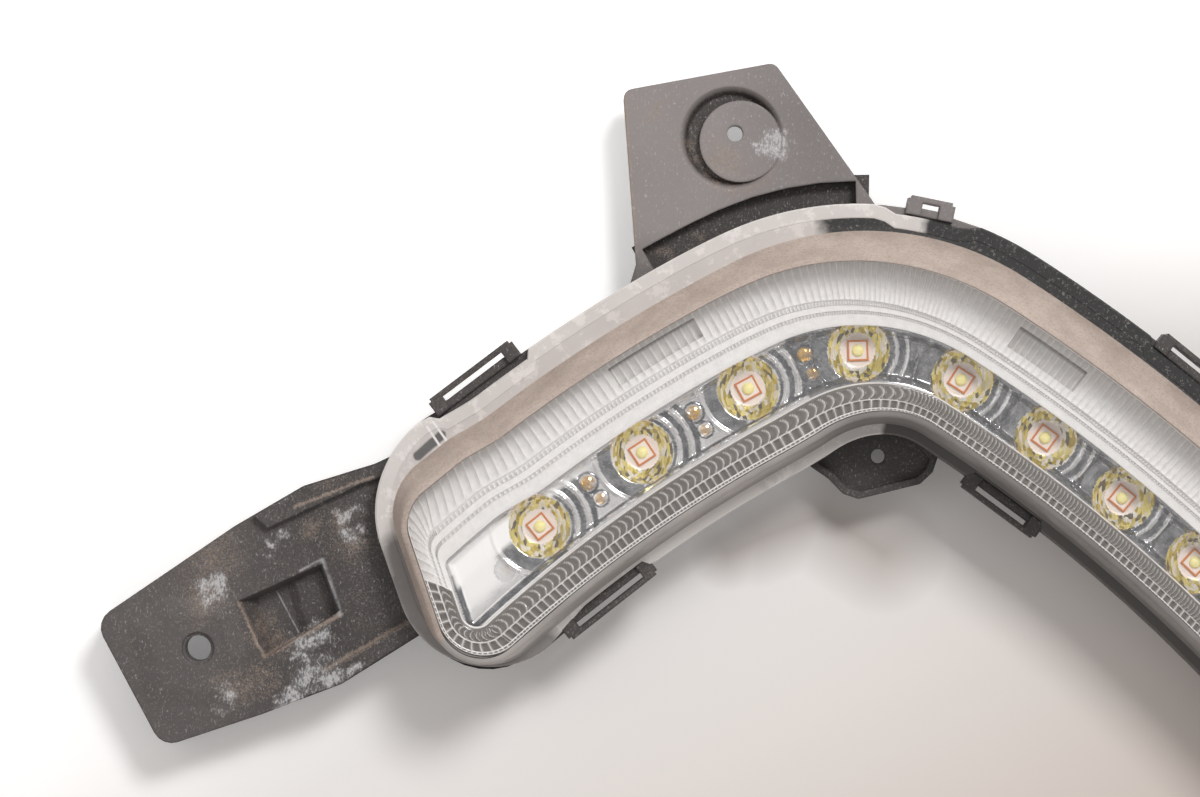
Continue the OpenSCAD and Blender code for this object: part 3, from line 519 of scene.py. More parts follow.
def mirror_cup():
    """Cup wall with a painted reflection of its LED: yellow in slanting broken stripes, among grey ones."""
    m = Nodes("mirror_cup")
    turned = m.add("ShaderNodeMapping", Rotation=(0, 0, 1.1), Scale=(1.0, 0.4, 1.0))
    m.link(m.position(), turned.inputs["Vector"])
    cells = m.add("ShaderNodeTexVoronoi", Scale=1100.0)
    m.link(turned.outputs[0], cells.inputs["Vector"])
    tint = m.add("ShaderNodeSeparateXYZ")
    m.link(cells.outputs["Color"], tint.inputs[0])
    yellow = m.blend(m.ramp(tint.outputs["Y"], 0.1, 0.9), (0.5, 0.38, 0.05), (1.0, 0.88, 0.35))
    grey = m.blend(m.ramp(tint.outputs["Z"], 0.3, 0.4), (0.16, 0.14, 0.1), (0.95, 0.92, 0.88))
    base = m.blend(m.ramp(tint.outputs["X"], 0.42, 0.52), grey, yellow)
    m.set(Base_Color=base, Metallic=0.55)
    m.set(Roughness=m.ramp(m.noise(300, 2), 0.3, 0.7, 0.2, 0.3))
    m.bump(cells.outputs["Distance"], 0.3, 0.0004)
    return m.mat


def lens_clear():
    """Clear front with a little dust."""
    m = Nodes("lens_front", blend=True)
    dust = m.ramp(m.noise(900, 4, 0.7), 0.6, 0.75, 0.05, 0.16)
    m.set(Base_Color=m.blend(m.noise(30, 3), (0.75, 0.73, 0.7), (0.9, 0.89, 0.87)))
    m.set(Roughness=0.08, Alpha=dust, Coat_Weight=0.0)
    return m.mat


def lens_wall():
    """Upper wall of the lens under a film of beige dust."""
    m = Nodes("lens_wall", blend=True)
    cloud = m.noise(90, 5, 0.6)
    grain = m.noise(1500, 3, 0.7)
    tone = m.blend(cloud, (0.46, 0.37, 0.315), (0.68, 0.575, 0.51))
    tone = m.blend(m.ramp(grain, 0.45, 0.75), tone, (0.42, 0.33, 0.28))
    m.set(Base_Color=tone, Roughness=0.6, Alpha=m.ramp(cloud, 0.3, 0.7, 0.7, 0.86))
    m.bump(m.noise(1200, 3), 0.15, 0.0001)
    return m.mat


def lens_low_wall():
    """Lower wall of the lens, greyer than the upper one and dark on the right arm."""
    m = Nodes("lens_low_wall", blend=True)
    cloud = m.noise(70, 4, 0.6)
    tone = m.blend(cloud, (0.33, 0.305, 0.29), (0.5, 0.465, 0.44))
    right_tone = m.blend(cloud, (0.19, 0.178, 0.17), (0.3, 0.28, 0.268))
    tone = m.blend(m.ramp(m.value("s_mm"), 60.0, 90.0), tone, right_tone)
    m.set(Base_Color=tone, Roughness=0.35, Alpha=m.ramp(cloud, 0.3, 0.7, 0.86, 0.96))
    return m.mat


def lens_flange(name, low_tone, high_tone, alpha, dark_from):
    """Flange of the lens: light grey on the left arm, black and speckled from a place on."""
    m = Nodes(name, blend=True)
    cloud = m.noise(60, 5, 0.6)
    tone = m.blend(cloud, low_tone, high_tone)
    flakes = m.ramp(m.noise(170, 6, 0.7, (1.0, 1.0, 0.2)), 0.53, 0.58, 0.0, 0.5)
    tone = m.blend(flakes, tone, tuple(min(1.2 * c, 1.0) for c in high_tone))
    speck = m.ramp(m.noise(1300, 4, 0.75), 0.56, 0.74)
    black = m.blend(speck, (0.03, 0.03, 0.03), (0.33, 0.3, 0.28))
    edge = m.math("ADD", m.value("s_mm"), m.math("MULTIPLY", m.noise(140, 4), 6.0))
    smooth_dark = m.blend(cloud, (0.085, 0.078, 0.074), (0.13, 0.12, 0.114))
    black = m.blend(m.ramp(m.value("d_mm"), 1.0, -1.0), black, smooth_dark)
    tone = m.blend(m.ramp(edge, dark_from, dark_from + 2.0), tone, black)
    low_corner = m.ramp(near_lines(m, LOW_CORNER, 0.002), 0.0, 0.6, 0.0, 0.85)
    tone = m.blend(low_corner, tone, m.blend(cloud, (0.13, 0.122, 0.118), (0.24, 0.226, 0.218)))
    strip = m.ramp(near_lines(m, LOW_STRIP, 0.0), 0.0, 0.3)
    tone = m.blend(strip, tone, m.blend(cloud, (0.7, 0.66, 0.63), (0.85, 0.81, 0.785)))
    bar = m.ramp(near_lines(m, FLANGE_BAR, 0.001), 0.0, 0.35)
    tone = m.blend(bar, tone, m.blend(cloud, (0.08, 0.078, 0.08), (0.2, 0.195, 0.195)))
    tone = m.blend(m.ramp(near_lines(m, FLANGE_MARKS, 0.0), 0.0, 0.5), tone, (0.9, 0.88, 0.87))
    m.set(Base_Color=tone, Roughness=0.4, Alpha=alpha)
    m.bump(m.noise(800, 3), 0.12, 0.0001)
    return m.mat


def floor_paper():
    """Pale floor, white at the upper left and a warm grey at the lower right, where it is a painted shade
    near the part.
    """
    m = Nodes("floor_paper")
    split = m.add("ShaderNodeSeparateXYZ")
    m.link(m.position(), split.inputs[0])
    slope = m.math("SUBTRACT", m.math("MULTIPLY", split.outputs["X"], 0.5), split.outputs["Y"])
    away = m.vector("LENGTH", m.position())
    near = m.ramp(away.outputs["Value"], 0.5, 0.25)
    # Painted shade: near the part the floor darkens towards the lower right
    fade = m.math("MULTIPLY", m.ramp(slope, 0.0, 0.15), near)
    tone = m.blend(fade, (0.95, 0.94, 0.93), (0.64, 0.565, 0.515))
    # Painted shadow of the part, deepest inside the bend
    dim = m.math("MULTIPLY", near_lines(m, FLOOR_DIM, 0.0), 0.8)
    m.set(Base_Color=m.blend(dim, tone, (0.4, 0.35, 0.32)), Roughness=0.7)
    # Seen directly or in a reflection, the upper left is washed out to white
    path = m.add("ShaderNodeLightPath")
    rays = ("Is Camera Ray", "Is Glossy Ray", "Is Transmission Ray")
    seen = greatest(m, [path.outputs[k] for k in rays])
    wash = m.math("MULTIPLY", seen, m.ramp(slope, 0.035, -0.06, 0.0, 0.35))
    m.set(Emission_Color=(1, 1, 1), Emission_Strength=wash)
    m.bump(m.noise(500, 2), 0.03, 0.0001)
    return m.mat


# Pieces

def flute_phase(s, pitches):
    """Count of flutes up to each s, for spacings given as (s, spacing) pairs."""
    fine = np.linspace(-60, S_LAST + 60, 6000)
    spacing = np.interp(fine, [p[0] for p in pitches], [p[1] for p in pitches])
    count = np.concatenate([[0], np.cumsum(np.diff(fine) / spacing[1:])])
    return np.interp(s, fine, count)


# First station of the flutes on the upper (True) and lower side, and the stretch that is fitted to a corner
FLUTES_FROM = {True: -14.0, False: -24.0}
FIT_WITHIN = 30.0


def arc_end(shape, is_upper, s):
    """Where the corner arc of a left end meets the long side."""
    slant = math.radians(END_SLANT)
    if is_upper:
        cd, r = float(upper(shape, s)) - shape[5], shape[5]
    else:
        cd, r = float(lower(shape, s)) + shape[6], shape[6]
    return (cd * math.sin(slant) - (shape[4] - r)) / math.cos(slant)


def fitted(base, shape, is_upper):
    """Stations moved near both ends so that they begin where the corner arcs of the shape end."""
    first = FLUTES_FROM[is_upper]
    left = arc_end(shape, is_upper, RISE_A) - first
    right = -arc_end(tighter(shape), is_upper, S_LAST) + first
    near = np.clip((first + FIT_WITHIN - base) / FIT_WITHIN, 0, 1)
    far = np.clip((base - (S_LAST - first - FIT_WITHIN)) / FIT_WITHIN, 0, 1)
    return base + left * near + right * far


def stations_by_phase(pitches, per_flute, first):
    """Stations with a fixed number of points in each flute."""
    fine = np.linspace(first, S_LAST - first, 20000)
    phase = flute_phase(fine, pitches)
    n = round((phase[-1] - phase[0]) * per_flute)
    return np.interp(np.linspace(phase[0], phase[-1], n + 1), phase, fine)


def shape_between(stops, t):
    """Outline at t, with whole numbers at the stops."""
    k = min(int(t), len(stops) - 2)
    return tuple(mix(a, b, t - k) for a, b in zip(stops[k], stops[k + 1]))


# Rows of the bezel from outside to inside, on the upper side: place between the outlines
# skirt, outer band, inner band and mouth, height, wave height and kind
UPPER_ROWS = [
    (0.0, 19.6, 0, ""), (1.0, 28.8, 0, ""), (1.01, 29.0, 0, ""), (1.05, 29.0, 0, ""),
    (1.06, 28.75, 0.55, "rib"), (1.1, 28.7, 0.6, "rib"), (1.16, 28.6, 0.6, "rib"), (1.22, 28.5, 0.6, "rib"),
    (1.25, 28.4, 0.6, "rib"), (1.26, 28.4, 0.6, "rib"), (1.34, 28.2, 0.6, "rib"), (1.42, 27.9, 0.6, "rib"),
    (1.5, 27.6, 0.6, "rib"), (1.6, 27.3, 0.6, "rib"), (1.7, 27.0, 0.6, "rib"), (1.78, 26.8, 0.6, "rib"),
    (1.79, 26.8, 0.6, "rib"), (1.88, 26.5, 0.55, "rib"), (1.95, 26.3, 0.4, "rib"), (2.0, 26.2, 0, ""),
    (2.05, 25.6, 0, ""), (2.1, 25.55, 0.45, "tooth"), (2.2, 25.5, 0.45, "tooth"), (2.22, 25.1, 0, ""),
    (2.42, 24.95, 0, ""), (2.45, 24.7, 0.4, "tooth"), (2.54, 24.65, 0.4, "tooth"), (2.57, 24.4, 0, ""),
    (2.8, 24.2, 0, ""), (2.97, 24.0, 0, ""), (3.0, 23.8, 0, ""), (3.0, 23.2, 0, ""), (3.0, 21.9, 0, ""),
]
# The same on the lower side, with as many rows; the rows of kind line are a painted shadow along the trough's
# rim
LOWER_ROWS = [
    (0.0, 19.6, 0, ""), (1.0, 28.8, 0, ""), (1.02, 29.0, 0, ""), (1.08, 29.0, 0, ""),
    (1.1, 28.6, 0.5, "tooth"), (1.2, 28.4, 0.5, "tooth"), (1.22, 28.2, 0, ""), (1.28, 28.1, 0, ""),
    (1.3, 27.9, 0.9, "rib"), (1.4, 27.8, 1.0, "rib"), (1.5, 27.6, 1.0, "rib"), (1.6, 27.4, 1.0, "rib"),
    (1.7, 27.2, 1.0, "rib"), (1.8, 27.0, 1.0, "rib"), (1.9, 26.8, 0.9, "rib"), (1.94, 26.9, 0, ""),
    (1.98, 27.0, 0, ""), (2.02, 26.6, 0, ""), (2.04, 26.0, 0.6, "moon"), (2.13, 25.9, 0.6, "moon"),
    (2.22, 25.8, 0.6, "moon"), (2.31, 25.7, 0.6, "moon"), (2.4, 25.6, 0.6, "moon"), (2.49, 25.5, 0.6, "moon"),
    (2.58, 25.4, 0.6, "moon"), (2.67, 25.3, 0.6, "moon"), (2.76, 25.2, 0.6, "moon"), (2.78, 24.8, 0, "line"),
    (2.9, 24.6, 0, "line"), (2.92, 24.4, 0, ""), (3.0, 23.8, 0, ""), (3.0, 23.2, 0, ""), (3.0, 21.9, 0, ""),
]
# First and last row of the crescents
MOON_A, MOON_B = 2.04, 2.76
# Sunk windows in the upper flutes: stretches of the spine, rows and depth
WINDOWS = ((35.8, 59.3), (124.3, 143.8))
WINDOW_ROWS, WINDOW_DEEP = (1.255, 1.785), 1.2
# Spacing of the flutes at places along the spine, as (s, spacing)
UP_PITCH = [(-40, 2.1), (55, 2.1), (62, 1.9), (80, 1.5), (92, 0.95), (108, 0.95), (122, 1.7), (260, 1.75)]
LOW_PITCH = [(-40, 2.15), (52, 2.15), (75, 3.2), (95, 3.5), (118, 2.2), (260, 2.05)]
# From here on the crescents are as small as beads
BEAD_FROM = 108.0
# How far the crescents bulge along the lamp, in parts of their spacing
MOON_BULGE = 0.45
# Painted shade in the hollows between crests by kind of row, and of the upper flutes from outside to inside
TOP_HOLLOW = {"": 1.0, "tooth": 0.7}
RIB_HOLLOW, RIB_FROM, RIB_WIDE = (0.62, 1.0), 1.06, 0.94
LOW_HOLLOW = {"": 0.6, "line": 0.04, "rib": 0.0, "tooth": 0.08, "moon": 0.03}
# The same in the windows, and the painted shade at their edges
WINDOW_HOLLOW, WINDOW_EDGE = 0.62, 0.1
# Sharpness of the painted highlights on the crests
TOP_CREST, WINDOW_CREST = 2.5, 3
LOW_CREST = {"": 1.0, "line": 1.0, "rib": 2.2, "tooth": 2.0, "moon": 5.0}


def saw(phase):
    """Wave that rises slowly and falls fast, without a jump."""
    u = phase % 1.0
    return np.where(u < 0.84, (u / 0.84) ** 1.6, (1 - u) / 0.16)


def fluted_bezel():
    """Frame of flutes, ledges and scallops round the trough."""
    per_up, per_low = 6, 12
    top = stations_by_phase(UP_PITCH, per_up, FLUTES_FROM[True])
    bottom = stations_by_phase(LOW_PITCH, per_low, FLUTES_FROM[False])
    # Flutes and points per flute of the lower corners, the end lines and the upper corners
    (f_low, p_low), (f_end, p_end), (f_up, p_up) = (8, 8), (8, 10), (5, 12)
    n_low, n_up, n_end = f_low * p_low, f_up * p_up, f_end * p_end
    # Count of flutes round the outline, from the lower left corner on
    left = [np.arange(n_low) / p_low, f_low + np.arange(n_end) / p_end,
            f_low + f_end + np.arange(n_up) / p_up]
    phase_top = flute_phase(top, UP_PITCH)
    phase_low = flute_phase(bottom, LOW_PITCH)[::-1]
    right = [np.arange(n_up) / p_up, f_up + np.arange(n_end) / p_end,
             f_up + f_end + np.arange(n_low) / p_low]
    phase = np.concatenate([*left, phase_top - phase_top[0], *right, phase_low])
    n = len(phase)
    # Points where the left and right end lines start, and the share of the upper rows round the outline
    line_a, line_b = n_low, n_low + n_end + n_up + len(top) + n_up
    is_top = np.zeros(n, bool)
    is_top[line_a + n_end // 2:line_b + n_end // 2] = True
    share = np.zeros(n)
    ramp = ease(np.linspace(0, 1, n_end))
    share[line_a:line_a + n_end] = ramp
    share[line_a + n_end:line_b] = 1
    share[line_b:line_b + n_end] = ramp[::-1]
    stops = [SKIRT, BAND_OUT, BAND_IN, MOUTH]
    grid, shades = [], []
    for row_up, row_low in zip(UPPER_ROWS, LOWER_ROWS):
        (t_up, z_up, amp_up, kind_up), (t_low, z_low, amp_low, kind_low) = row_up, row_low
        up_shape = shape_between(stops, t_up)
        low_shape = shape_between(stops, t_low)
        end = (up_shape[4] + low_shape[4]) / 2
        shape = (*up_shape[:2], *low_shape[2:4], end, up_shape[5], low_shape[6])
        sd = outline(shape, fitted(top, shape, True), fitted(bottom, shape, False), n_low, n_up, n_end)
        across = (t_low - MOON_A) / (MOON_B - MOON_A) * 2 - 1
        fast = np.where(sd[:, 0] > BEAD_FROM, 2.0, 1.0)
        waves = {
            "": np.full(n, 0.5),
            "rib": 0.5 - np.abs(np.sin(np.pi * phase)) ** 0.8,
            "tooth": 0.5 - np.abs(np.sin(2 * np.pi * phase)),
            "moon": saw(fast * phase - MOON_BULGE * (1 - across ** 2)) - 0.5,
            "line": np.full(n, -0.5),
        }
        z_wave = np.where(is_top, amp_up * waves[kind_up], amp_low * waves[kind_low])
        heights = mix(z_low, z_up, share) + z_wave
        in_window = is_top & np.any([(sd[:, 0] > a) & (sd[:, 0] < b) for a, b in WINDOWS], axis=0)
        window_row = WINDOW_ROWS[0] < t_up < WINDOW_ROWS[1]
        if window_row:
            heights = heights - WINDOW_DEEP * in_window
        # Painted light of each point: painted highlights on the crests, painted shade in the hollows and on
        # the windows' outer edges
        crest = 0.5 + np.where(is_top, waves[kind_up], waves[kind_low])
        rib_hollow = mix(*RIB_HOLLOW, (t_up - RIB_FROM) / RIB_WIDE)
        top_hollow = rib_hollow if kind_up == "rib" else TOP_HOLLOW[kind_up]
        hollow = np.where(is_top, top_hollow, LOW_HOLLOW[kind_low])
        sharp = np.where(is_top, TOP_CREST, LOW_CREST[kind_low])
        shade = mix(hollow, 1.0, crest ** sharp)
        if window_row:
            shade = np.where(in_window, mix(WINDOW_HOLLOW, 1.0, crest ** WINDOW_CREST), shade)
        if abs(t_up - WINDOW_ROWS[0]) < 0.02:
            shade = np.where(in_window, WINDOW_EDGE, shade)
        shades.append(shade)
        grid.append(to_frame(at(sd[:, 0], sd[:, 1]), heights))
    verts = np.concatenate(grid)
    faces = quads(len(grid), n, close_cols=True)[:, ::-1]
    obj = new_object("bezel", verts, faces, [silvered()], smooth=35)
    point_values(obj, "shade", np.concatenate(shades))
    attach(obj, "root")
    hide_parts("fluted_bezel")
    return obj


# Spacing of the trough's points, how far they reach past the end LEDs, and their offsets
TROUGH_STEP, TROUGH_END, TROUGH_LOW, TROUGH_UP = 0.3, 31.5, -12.3, 12.6
# Width and top of the rim
RIM_WIDE, RIM_TOP = 2.3, 21.8
# Cup round each LED: radius, height of its foot, radius of the foot and of the hole for the LED
CUP_R, CUP_Z, FOOT_R, HOLE_R = 8.0, 16.5, 4.6, 3.7
# Arcs beyond each cup, as inner and outer radius: painted dark reflection, painted bright reflection, and
# steps as radius, width and height
DARK_REFLECTION_ARCS = ((8.0, 8.9), (10.3, 11.8), (13.5, 14.9))
BRIGHT_REFLECTION_ARCS = ((9.2, 10.2), (12.0, 12.8))
STEPS = ((9.0, 1.2, 0.5), (11.9, 1.4, 0.6), (15.0, 0.5, 0.2))
# Domes between the LEDs of the left arm: offsets along and across, radius, height, radius and strength of
# the painted amber reflection of an LED, and a dark ring of painted reflection as inner and outer radius and
# brightness
DOMES = ((16.2, 1.5, 2.6, 1.0, 2.1, 1.0, 2.2, 2.9, 0.1), (16.6, -3.6, 2.0, 0.7, 1.7, 0.8, 1.8, 2.3, 0.15))
DOMES_TO = 70
# Where the trough's painted reflection turns dark, and the place of the pale painted ghost reflection of an
# LED
DARK_REFLECTION_FROM, GHOST = 76, (-13.5, -3.0)


def led_trough():
    """Mirror channel with a cup round each LED and arc steps beyond it."""
    s = np.arange(-TROUGH_END, S_LAST + TROUGH_END, TROUGH_STEP)
    d = np.arange(TROUGH_LOW, TROUGH_UP, TROUGH_STEP)
    ss, dd = np.meshgrid(s, d, indexing="ij")
    edge_up, edge_low = upper(MOUTH, ss) - 0.1, lower(MOUTH, ss) + 0.1
    xy = at(ss, dd)
    # Distance inside the end lines, which slant
    slant = math.radians(END_SLANT)
    end_left = ss * math.cos(slant) - dd * math.sin(slant) + MOUTH[4]
    end_right = (S_LAST - ss) * math.cos(slant) - dd * math.sin(slant) + MOUTH[4]
    inside = np.minimum(np.minimum(end_left, end_right), np.minimum(edge_up - dd, dd - edge_low))
    rim = ease((RIM_WIDE - inside) / RIM_WIDE)
    z = TROUGH_FLOOR + 0.25 * ((dd - 0.5) / 8) ** 2 + (RIM_TOP - TROUGH_FLOOR) * rim
    in_cup = np.zeros(ss.shape, bool)
    foot = np.zeros(ss.shape, bool)
    # Painted reflections of the plating, dark on the right arm, and painted amber reflections of the LEDs
    reflected_light = np.where(ss > DARK_REFLECTION_FROM, 0.22, 1.0)
    led_reflection = np.zeros(ss.shape)
    for place in LED_S:
        rel = xy - at(place)
        r = np.hypot(rel[..., 0], rel[..., 1])
        turn = np.arctan2(rel[..., 1], rel[..., 0]) - math.radians(float(heading(place)))
        right = (np.cos(turn) > 0.2) & (rim < 0.6)
        for arcs, tone in ((DARK_REFLECTION_ARCS, 0.08), (BRIGHT_REFLECTION_ARCS, 1.0)):
            for r_a, r_b in arcs:
                reflected_light = np.where(right & (r > r_a) & (r < r_b), tone, reflected_light)
        near_left = (np.cos(turn) < -0.5) & (rim < 0.8) & (r > CUP_R) & (r < 11.3)
        reflected_light = np.where(near_left, 0.2, reflected_light)
        for r_step, wide, tall in STEPS:
            hump = ease((r - r_step) / (wide * 0.4)) * (1 - ease((r - r_step - wide * 0.6) / (wide * 0.4)))
            z = z + np.where(right, tall * hump, 0)
        for along, across, radius, tall, glint_r, glint, ring_a, ring_b, tone in DOMES:
            if place < DOMES_TO:
                spot = at(place + along, across)
                q = np.hypot(xy[..., 0] - spot[0], xy[..., 1] - spot[1])
                z = z + tall * np.clip(1 - (q / radius) ** 2, 0, 1)
                led_reflection = np.maximum(led_reflection, glint * ease((glint_r - q) / 0.6))
                reflected_light = np.where((q > ring_a) & (q < ring_b), tone, reflected_light)
        left = (np.cos(turn) < -0.6) & (rim < 0.6)
        z = z + np.where(left, 0.5 * ease((r - 11.4) / 0.5) * (1 - ease((r - 12.4) / 0.5)), 0)
        cup = CUP_Z + (TROUGH_FLOOR + 0.3 - CUP_Z) * (np.clip(r - 3.9, 0, None) / 4.1) ** 1.4
        bowl = r < CUP_R
        z = np.where(bowl, np.minimum(cup, z), z)
        in_cup |= bowl
        foot |= r < FOOT_R
    # Washed-out upper part of the left end, as far as the second LED, and the end itself
    above = ease((dd - 0.5 - 3.0 * ease((ss + 2) / 12)) / 2.0)
    glare = above * ease((26.0 - ss) / 16.0) * ease((inside - 0.4) / 1.2)
    end_glare = ease((-12.0 - ss) / 3.0) * ease((inside - 1.6) / 0.8) * ease((dd + 7.5) / 5.0) * 0.8
    glare = np.maximum(glare, end_glare)
    # Pale painted ghost reflection of an LED at the left end
    ghost = np.hypot(*np.moveaxis(xy - at(*GHOST), -1, 0))
    glare = np.where((ghost > 2.6) & (ghost < 3.1), 0.2, np.where(ghost < 2.6, 0.5 * glare, glare))
    led_reflection = np.maximum(led_reflection, 0.22 * ease((1.7 - ghost) / 1.2))
    # Painted reflections of the left end: a dark edge and a bright inside
    reflected_light = np.where((ss < 2.0) & (rim > 0.05) & (rim < 0.9) & (dd < 5.0), 0.0, reflected_light)
    reflected_light = np.where((ss > 2.0) & (rim > 0.1) & (rim < 0.5) & (dd < 0), 0.15, reflected_light)
    verts = to_frame(xy, z).reshape(-1, 3)
    faces = quads(len(s), len(d))
    keep = (inside.reshape(-1)[faces] > -0.3).any(1)
    mask = in_cup.reshape(-1)[faces].all(1).astype(int) + foot.reshape(-1)[faces].all(1)
    flat_xy = xy.reshape(-1, 2)
    for place in LED_S:
        r = np.hypot(*(flat_xy - at(place)).T)
        keep &= ~(r[faces] < HOLE_R).all(1)
    faces, mask = faces[keep], mask[keep]
    used = np.unique(faces)
    index = np.full(len(verts), -1)
    index[used] = np.arange(len(used))
    # The feet of the cups carry a pale painted reflection of the LED's disc
    mats = [mirror(), mirror_cup(), simple("cup_foot_disc_reflection", (0.95, 0.84, 0.78), 0.3, var=0.1)]
    obj = new_object("trough", verts[used], index[faces][:, ::-1], mats, mask, smooth=50)
    for name, values in (("reflected_light", reflected_light), ("led_reflection", led_reflection), ("glare", glare)):
        point_values(obj, name, values.reshape(-1)[used])
    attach(obj, "root")
    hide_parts("led_trough")
    return obj


# Snap loops of the housing as place, width and side, and the notches for them in the flange
CLIPS = ((9.4, 26.0, 1), (103.0, 12.0, 1), (165.0, 26.0, 1), (208.0, 24.0, 1),
         (2.5, 28.0, -1), (146.5, 23.0, -1))
NOTCH_D, NOTCH_SIDE, NOTCH_EASE = 2.0, 0.8, 1.6
# First and last row of the flange's rim among the rows of the lens
RIM_ROWS = (5, 9)
# Points of each corner arc, and how many of the lower left arc are grey
CORNER_N, LOW_WALL_N = 24, 20
# Depth of the rounded edge of the front
EDGE_DROP = 1.1


def outer_lens():
    """Clear shell: front, dusty walls, flange and inner side, from the middle of the inside."""
    top = stations(1.5)
    edge_z = LAMP_H - LENS_CROWN - EDGE_DROP
    # Outline, height and, for the stretch to the next row, the material
    rows = [
        (inset(FRONT, 12.0), LAMP_H - LENS_T + 0.1, 0),
        (inset(FRONT, 7.0), LAMP_H - LENS_T, 0),
        (inset(FRONT, LENS_T + 1.6), LAMP_H - LENS_CROWN - LENS_T, 0),
        (inset(FRONT, LENS_T), edge_z - 0.5, 1),
        (WALL, JOINT_Z, 3),
        (RIM, JOINT_Z, 3),
        (RIM, FLANGE_Z - 0.4, 3),
        (inset(RIM, 0.4), FLANGE_Z, 3),
        (inset(RIM, 3.4), FLANGE_Z, 3),
        (inset(RIM, 3.6), FLANGE_Z - 0.15, 4),
        (inset(FOOT, -0.4), FLANGE_Z - 0.1, 1),
        (inset(FOOT, 0.3), FLANGE_Z + 0.8, 1),
        (FRONT, edge_z, 1),
        (inset(FRONT, 0.2), edge_z + 0.5, 1),
        (inset(FRONT, 0.6), LAMP_H - LENS_CROWN - 0.25, 1),
        (inset(FRONT, 1.6), LAMP_H - LENS_CROWN, 0),
        (inset(FRONT, 7.0), LAMP_H - 0.05, 0),
        (inset(FRONT, 12.0), LAMP_H, 0),
    ]
    grid, s_all, d_all = [], [], []
    for k, (shape, z, _) in enumerate(rows):
        sd = outline(shape, top, top, CORNER_N, CORNER_N)
        if RIM_ROWS[0] <= k <= RIM_ROWS[1]:
            for place, width, side in CLIPS:
                depth = ease((width / 2 + NOTCH_SIDE - np.abs(sd[:, 0] - place)) / NOTCH_EASE)
                sd[:, 1] = sd[:, 1] - side * NOTCH_D * (depth * (np.sign(sd[:, 1]) == side))
        grid.append(to_frame(at(sd[:, 0], sd[:, 1]), z))
        s_all.append(sd[:, 0])
        d_all.append(sd[:, 1])
    n = len(grid[0])
    verts = np.concatenate(grid)
    faces = quads(len(rows), n, close_cols=True)
    slots = np.repeat([row[2] for row in rows[:-1]], n)
    # The lower wall is greyer than the upper one
    is_low = np.zeros(n, bool)
    is_low[:LOW_WALL_N] = True
    is_low[3 * CORNER_N + len(top):] = True
    slots = np.where((slots == 1) & np.tile(is_low, len(rows) - 1), 2, slots)
    # Caps over the middle as strips between the two long sides
    half = n // 2
    k = np.arange(half - 1)
    strip = np.stack([CORNER_N + k, CORNER_N + 1 + k, CORNER_N - 2 - k, CORNER_N - 1 - k], -1) % n
    last = (len(rows) - 1) * n
    faces = np.concatenate([faces, strip[:, ::-1], strip + last])
    slots = np.concatenate([slots, np.zeros(2 * len(strip), int)])
    grey = lens_flange("flange_edge", (0.62, 0.58, 0.555), (0.78, 0.745, 0.72), 0.9, 104.0)
    dark = lens_flange("flange_inner", (0.56, 0.52, 0.5), (0.72, 0.675, 0.65), 0.88, 90.0)
    mats = [lens_clear(), lens_wall(), lens_low_wall(), grey, dark]
    obj = new_object("lens", verts, faces, mats, slots, smooth=35)
    # Places in mm, which the materials of the walls and the flange read
    point_values(obj, "s_mm", np.concatenate(s_all))
    point_values(obj, "d_mm", np.concatenate(d_all))
    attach(obj, "root")
    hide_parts("outer_lens")
    return obj


def dress_nodes():
    """Finishes of the CAD nodes that stay as they are."""
    metal = simple("zinc", (0.55, 0.53, 0.47), 0.35, 1.0)
    finishes = {
        "housing": black_plastic(),
        "lens_seal": simple("seal_rubber", (0.02, 0.02, 0.02), 0.8),
        "circuit_board": simple("board_white", (0.75, 0.75, 0.72), 0.5),
        "heat_sink": simple("sink_aluminium", (0.6, 0.6, 0.62), 0.4, 1.0),
        "board_screws": metal,
        "sink_screws": metal,
        "driver_board": simple("board_green", (0.03, 0.14, 0.06), 0.45),
        "driver_inductor": simple("ferrite", (0.05, 0.05, 0.05), 0.6),
        "driver_capacitors": simple("cans", (0.4, 0.41, 0.45), 0.3, 1.0),
        "driver_chip": simple("chip", (0.02, 0.02, 0.02), 0.5),
        "terminal_pins": simple("pins", (0.7, 0.55, 0.25), 0.3, 1.0),
        "jumper_ribbon": simple("ribbon", (0.6, 0.6, 0.57), 0.5),
        "vent_cap": simple("vent", (0.05, 0.05, 0.05), 0.6),
        "vent_membrane": simple("membrane", (0.8, 0.8, 0.78), 0.9),
    }
    for name, mat in finishes.items():
        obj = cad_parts[name]
        obj.data.materials.clear()
        obj.data.materials.append(mat)


def ring_profile(name, centre, turn, profile, mats, slots, n=48):
    """Revolved piece about an upright axis, from (radius, height) pairs in mm."""
    angle = np.linspace(0, 2 * math.pi, n, endpoint=False)
    rows = []
    for r, z in profile:
        xy = centre + r * np.stack([np.cos(angle + turn), np.sin(angle + turn)], -1)
        rows.append(to_frame(xy, z))
    verts = np.concatenate(rows)
    faces = quads(len(profile), n, close_cols=True)
    face_slots = np.repeat(slots, n)
    return new_object(name, verts, faces[:, ::-1], mats, face_slots, smooth=40)


# LED: radius and height of the disc, half side of the square, radius of the core
DISC_R, DISC_H, SQUARE_HALF, CORE_R = 3.9, 0.8, 2.65, 1.5


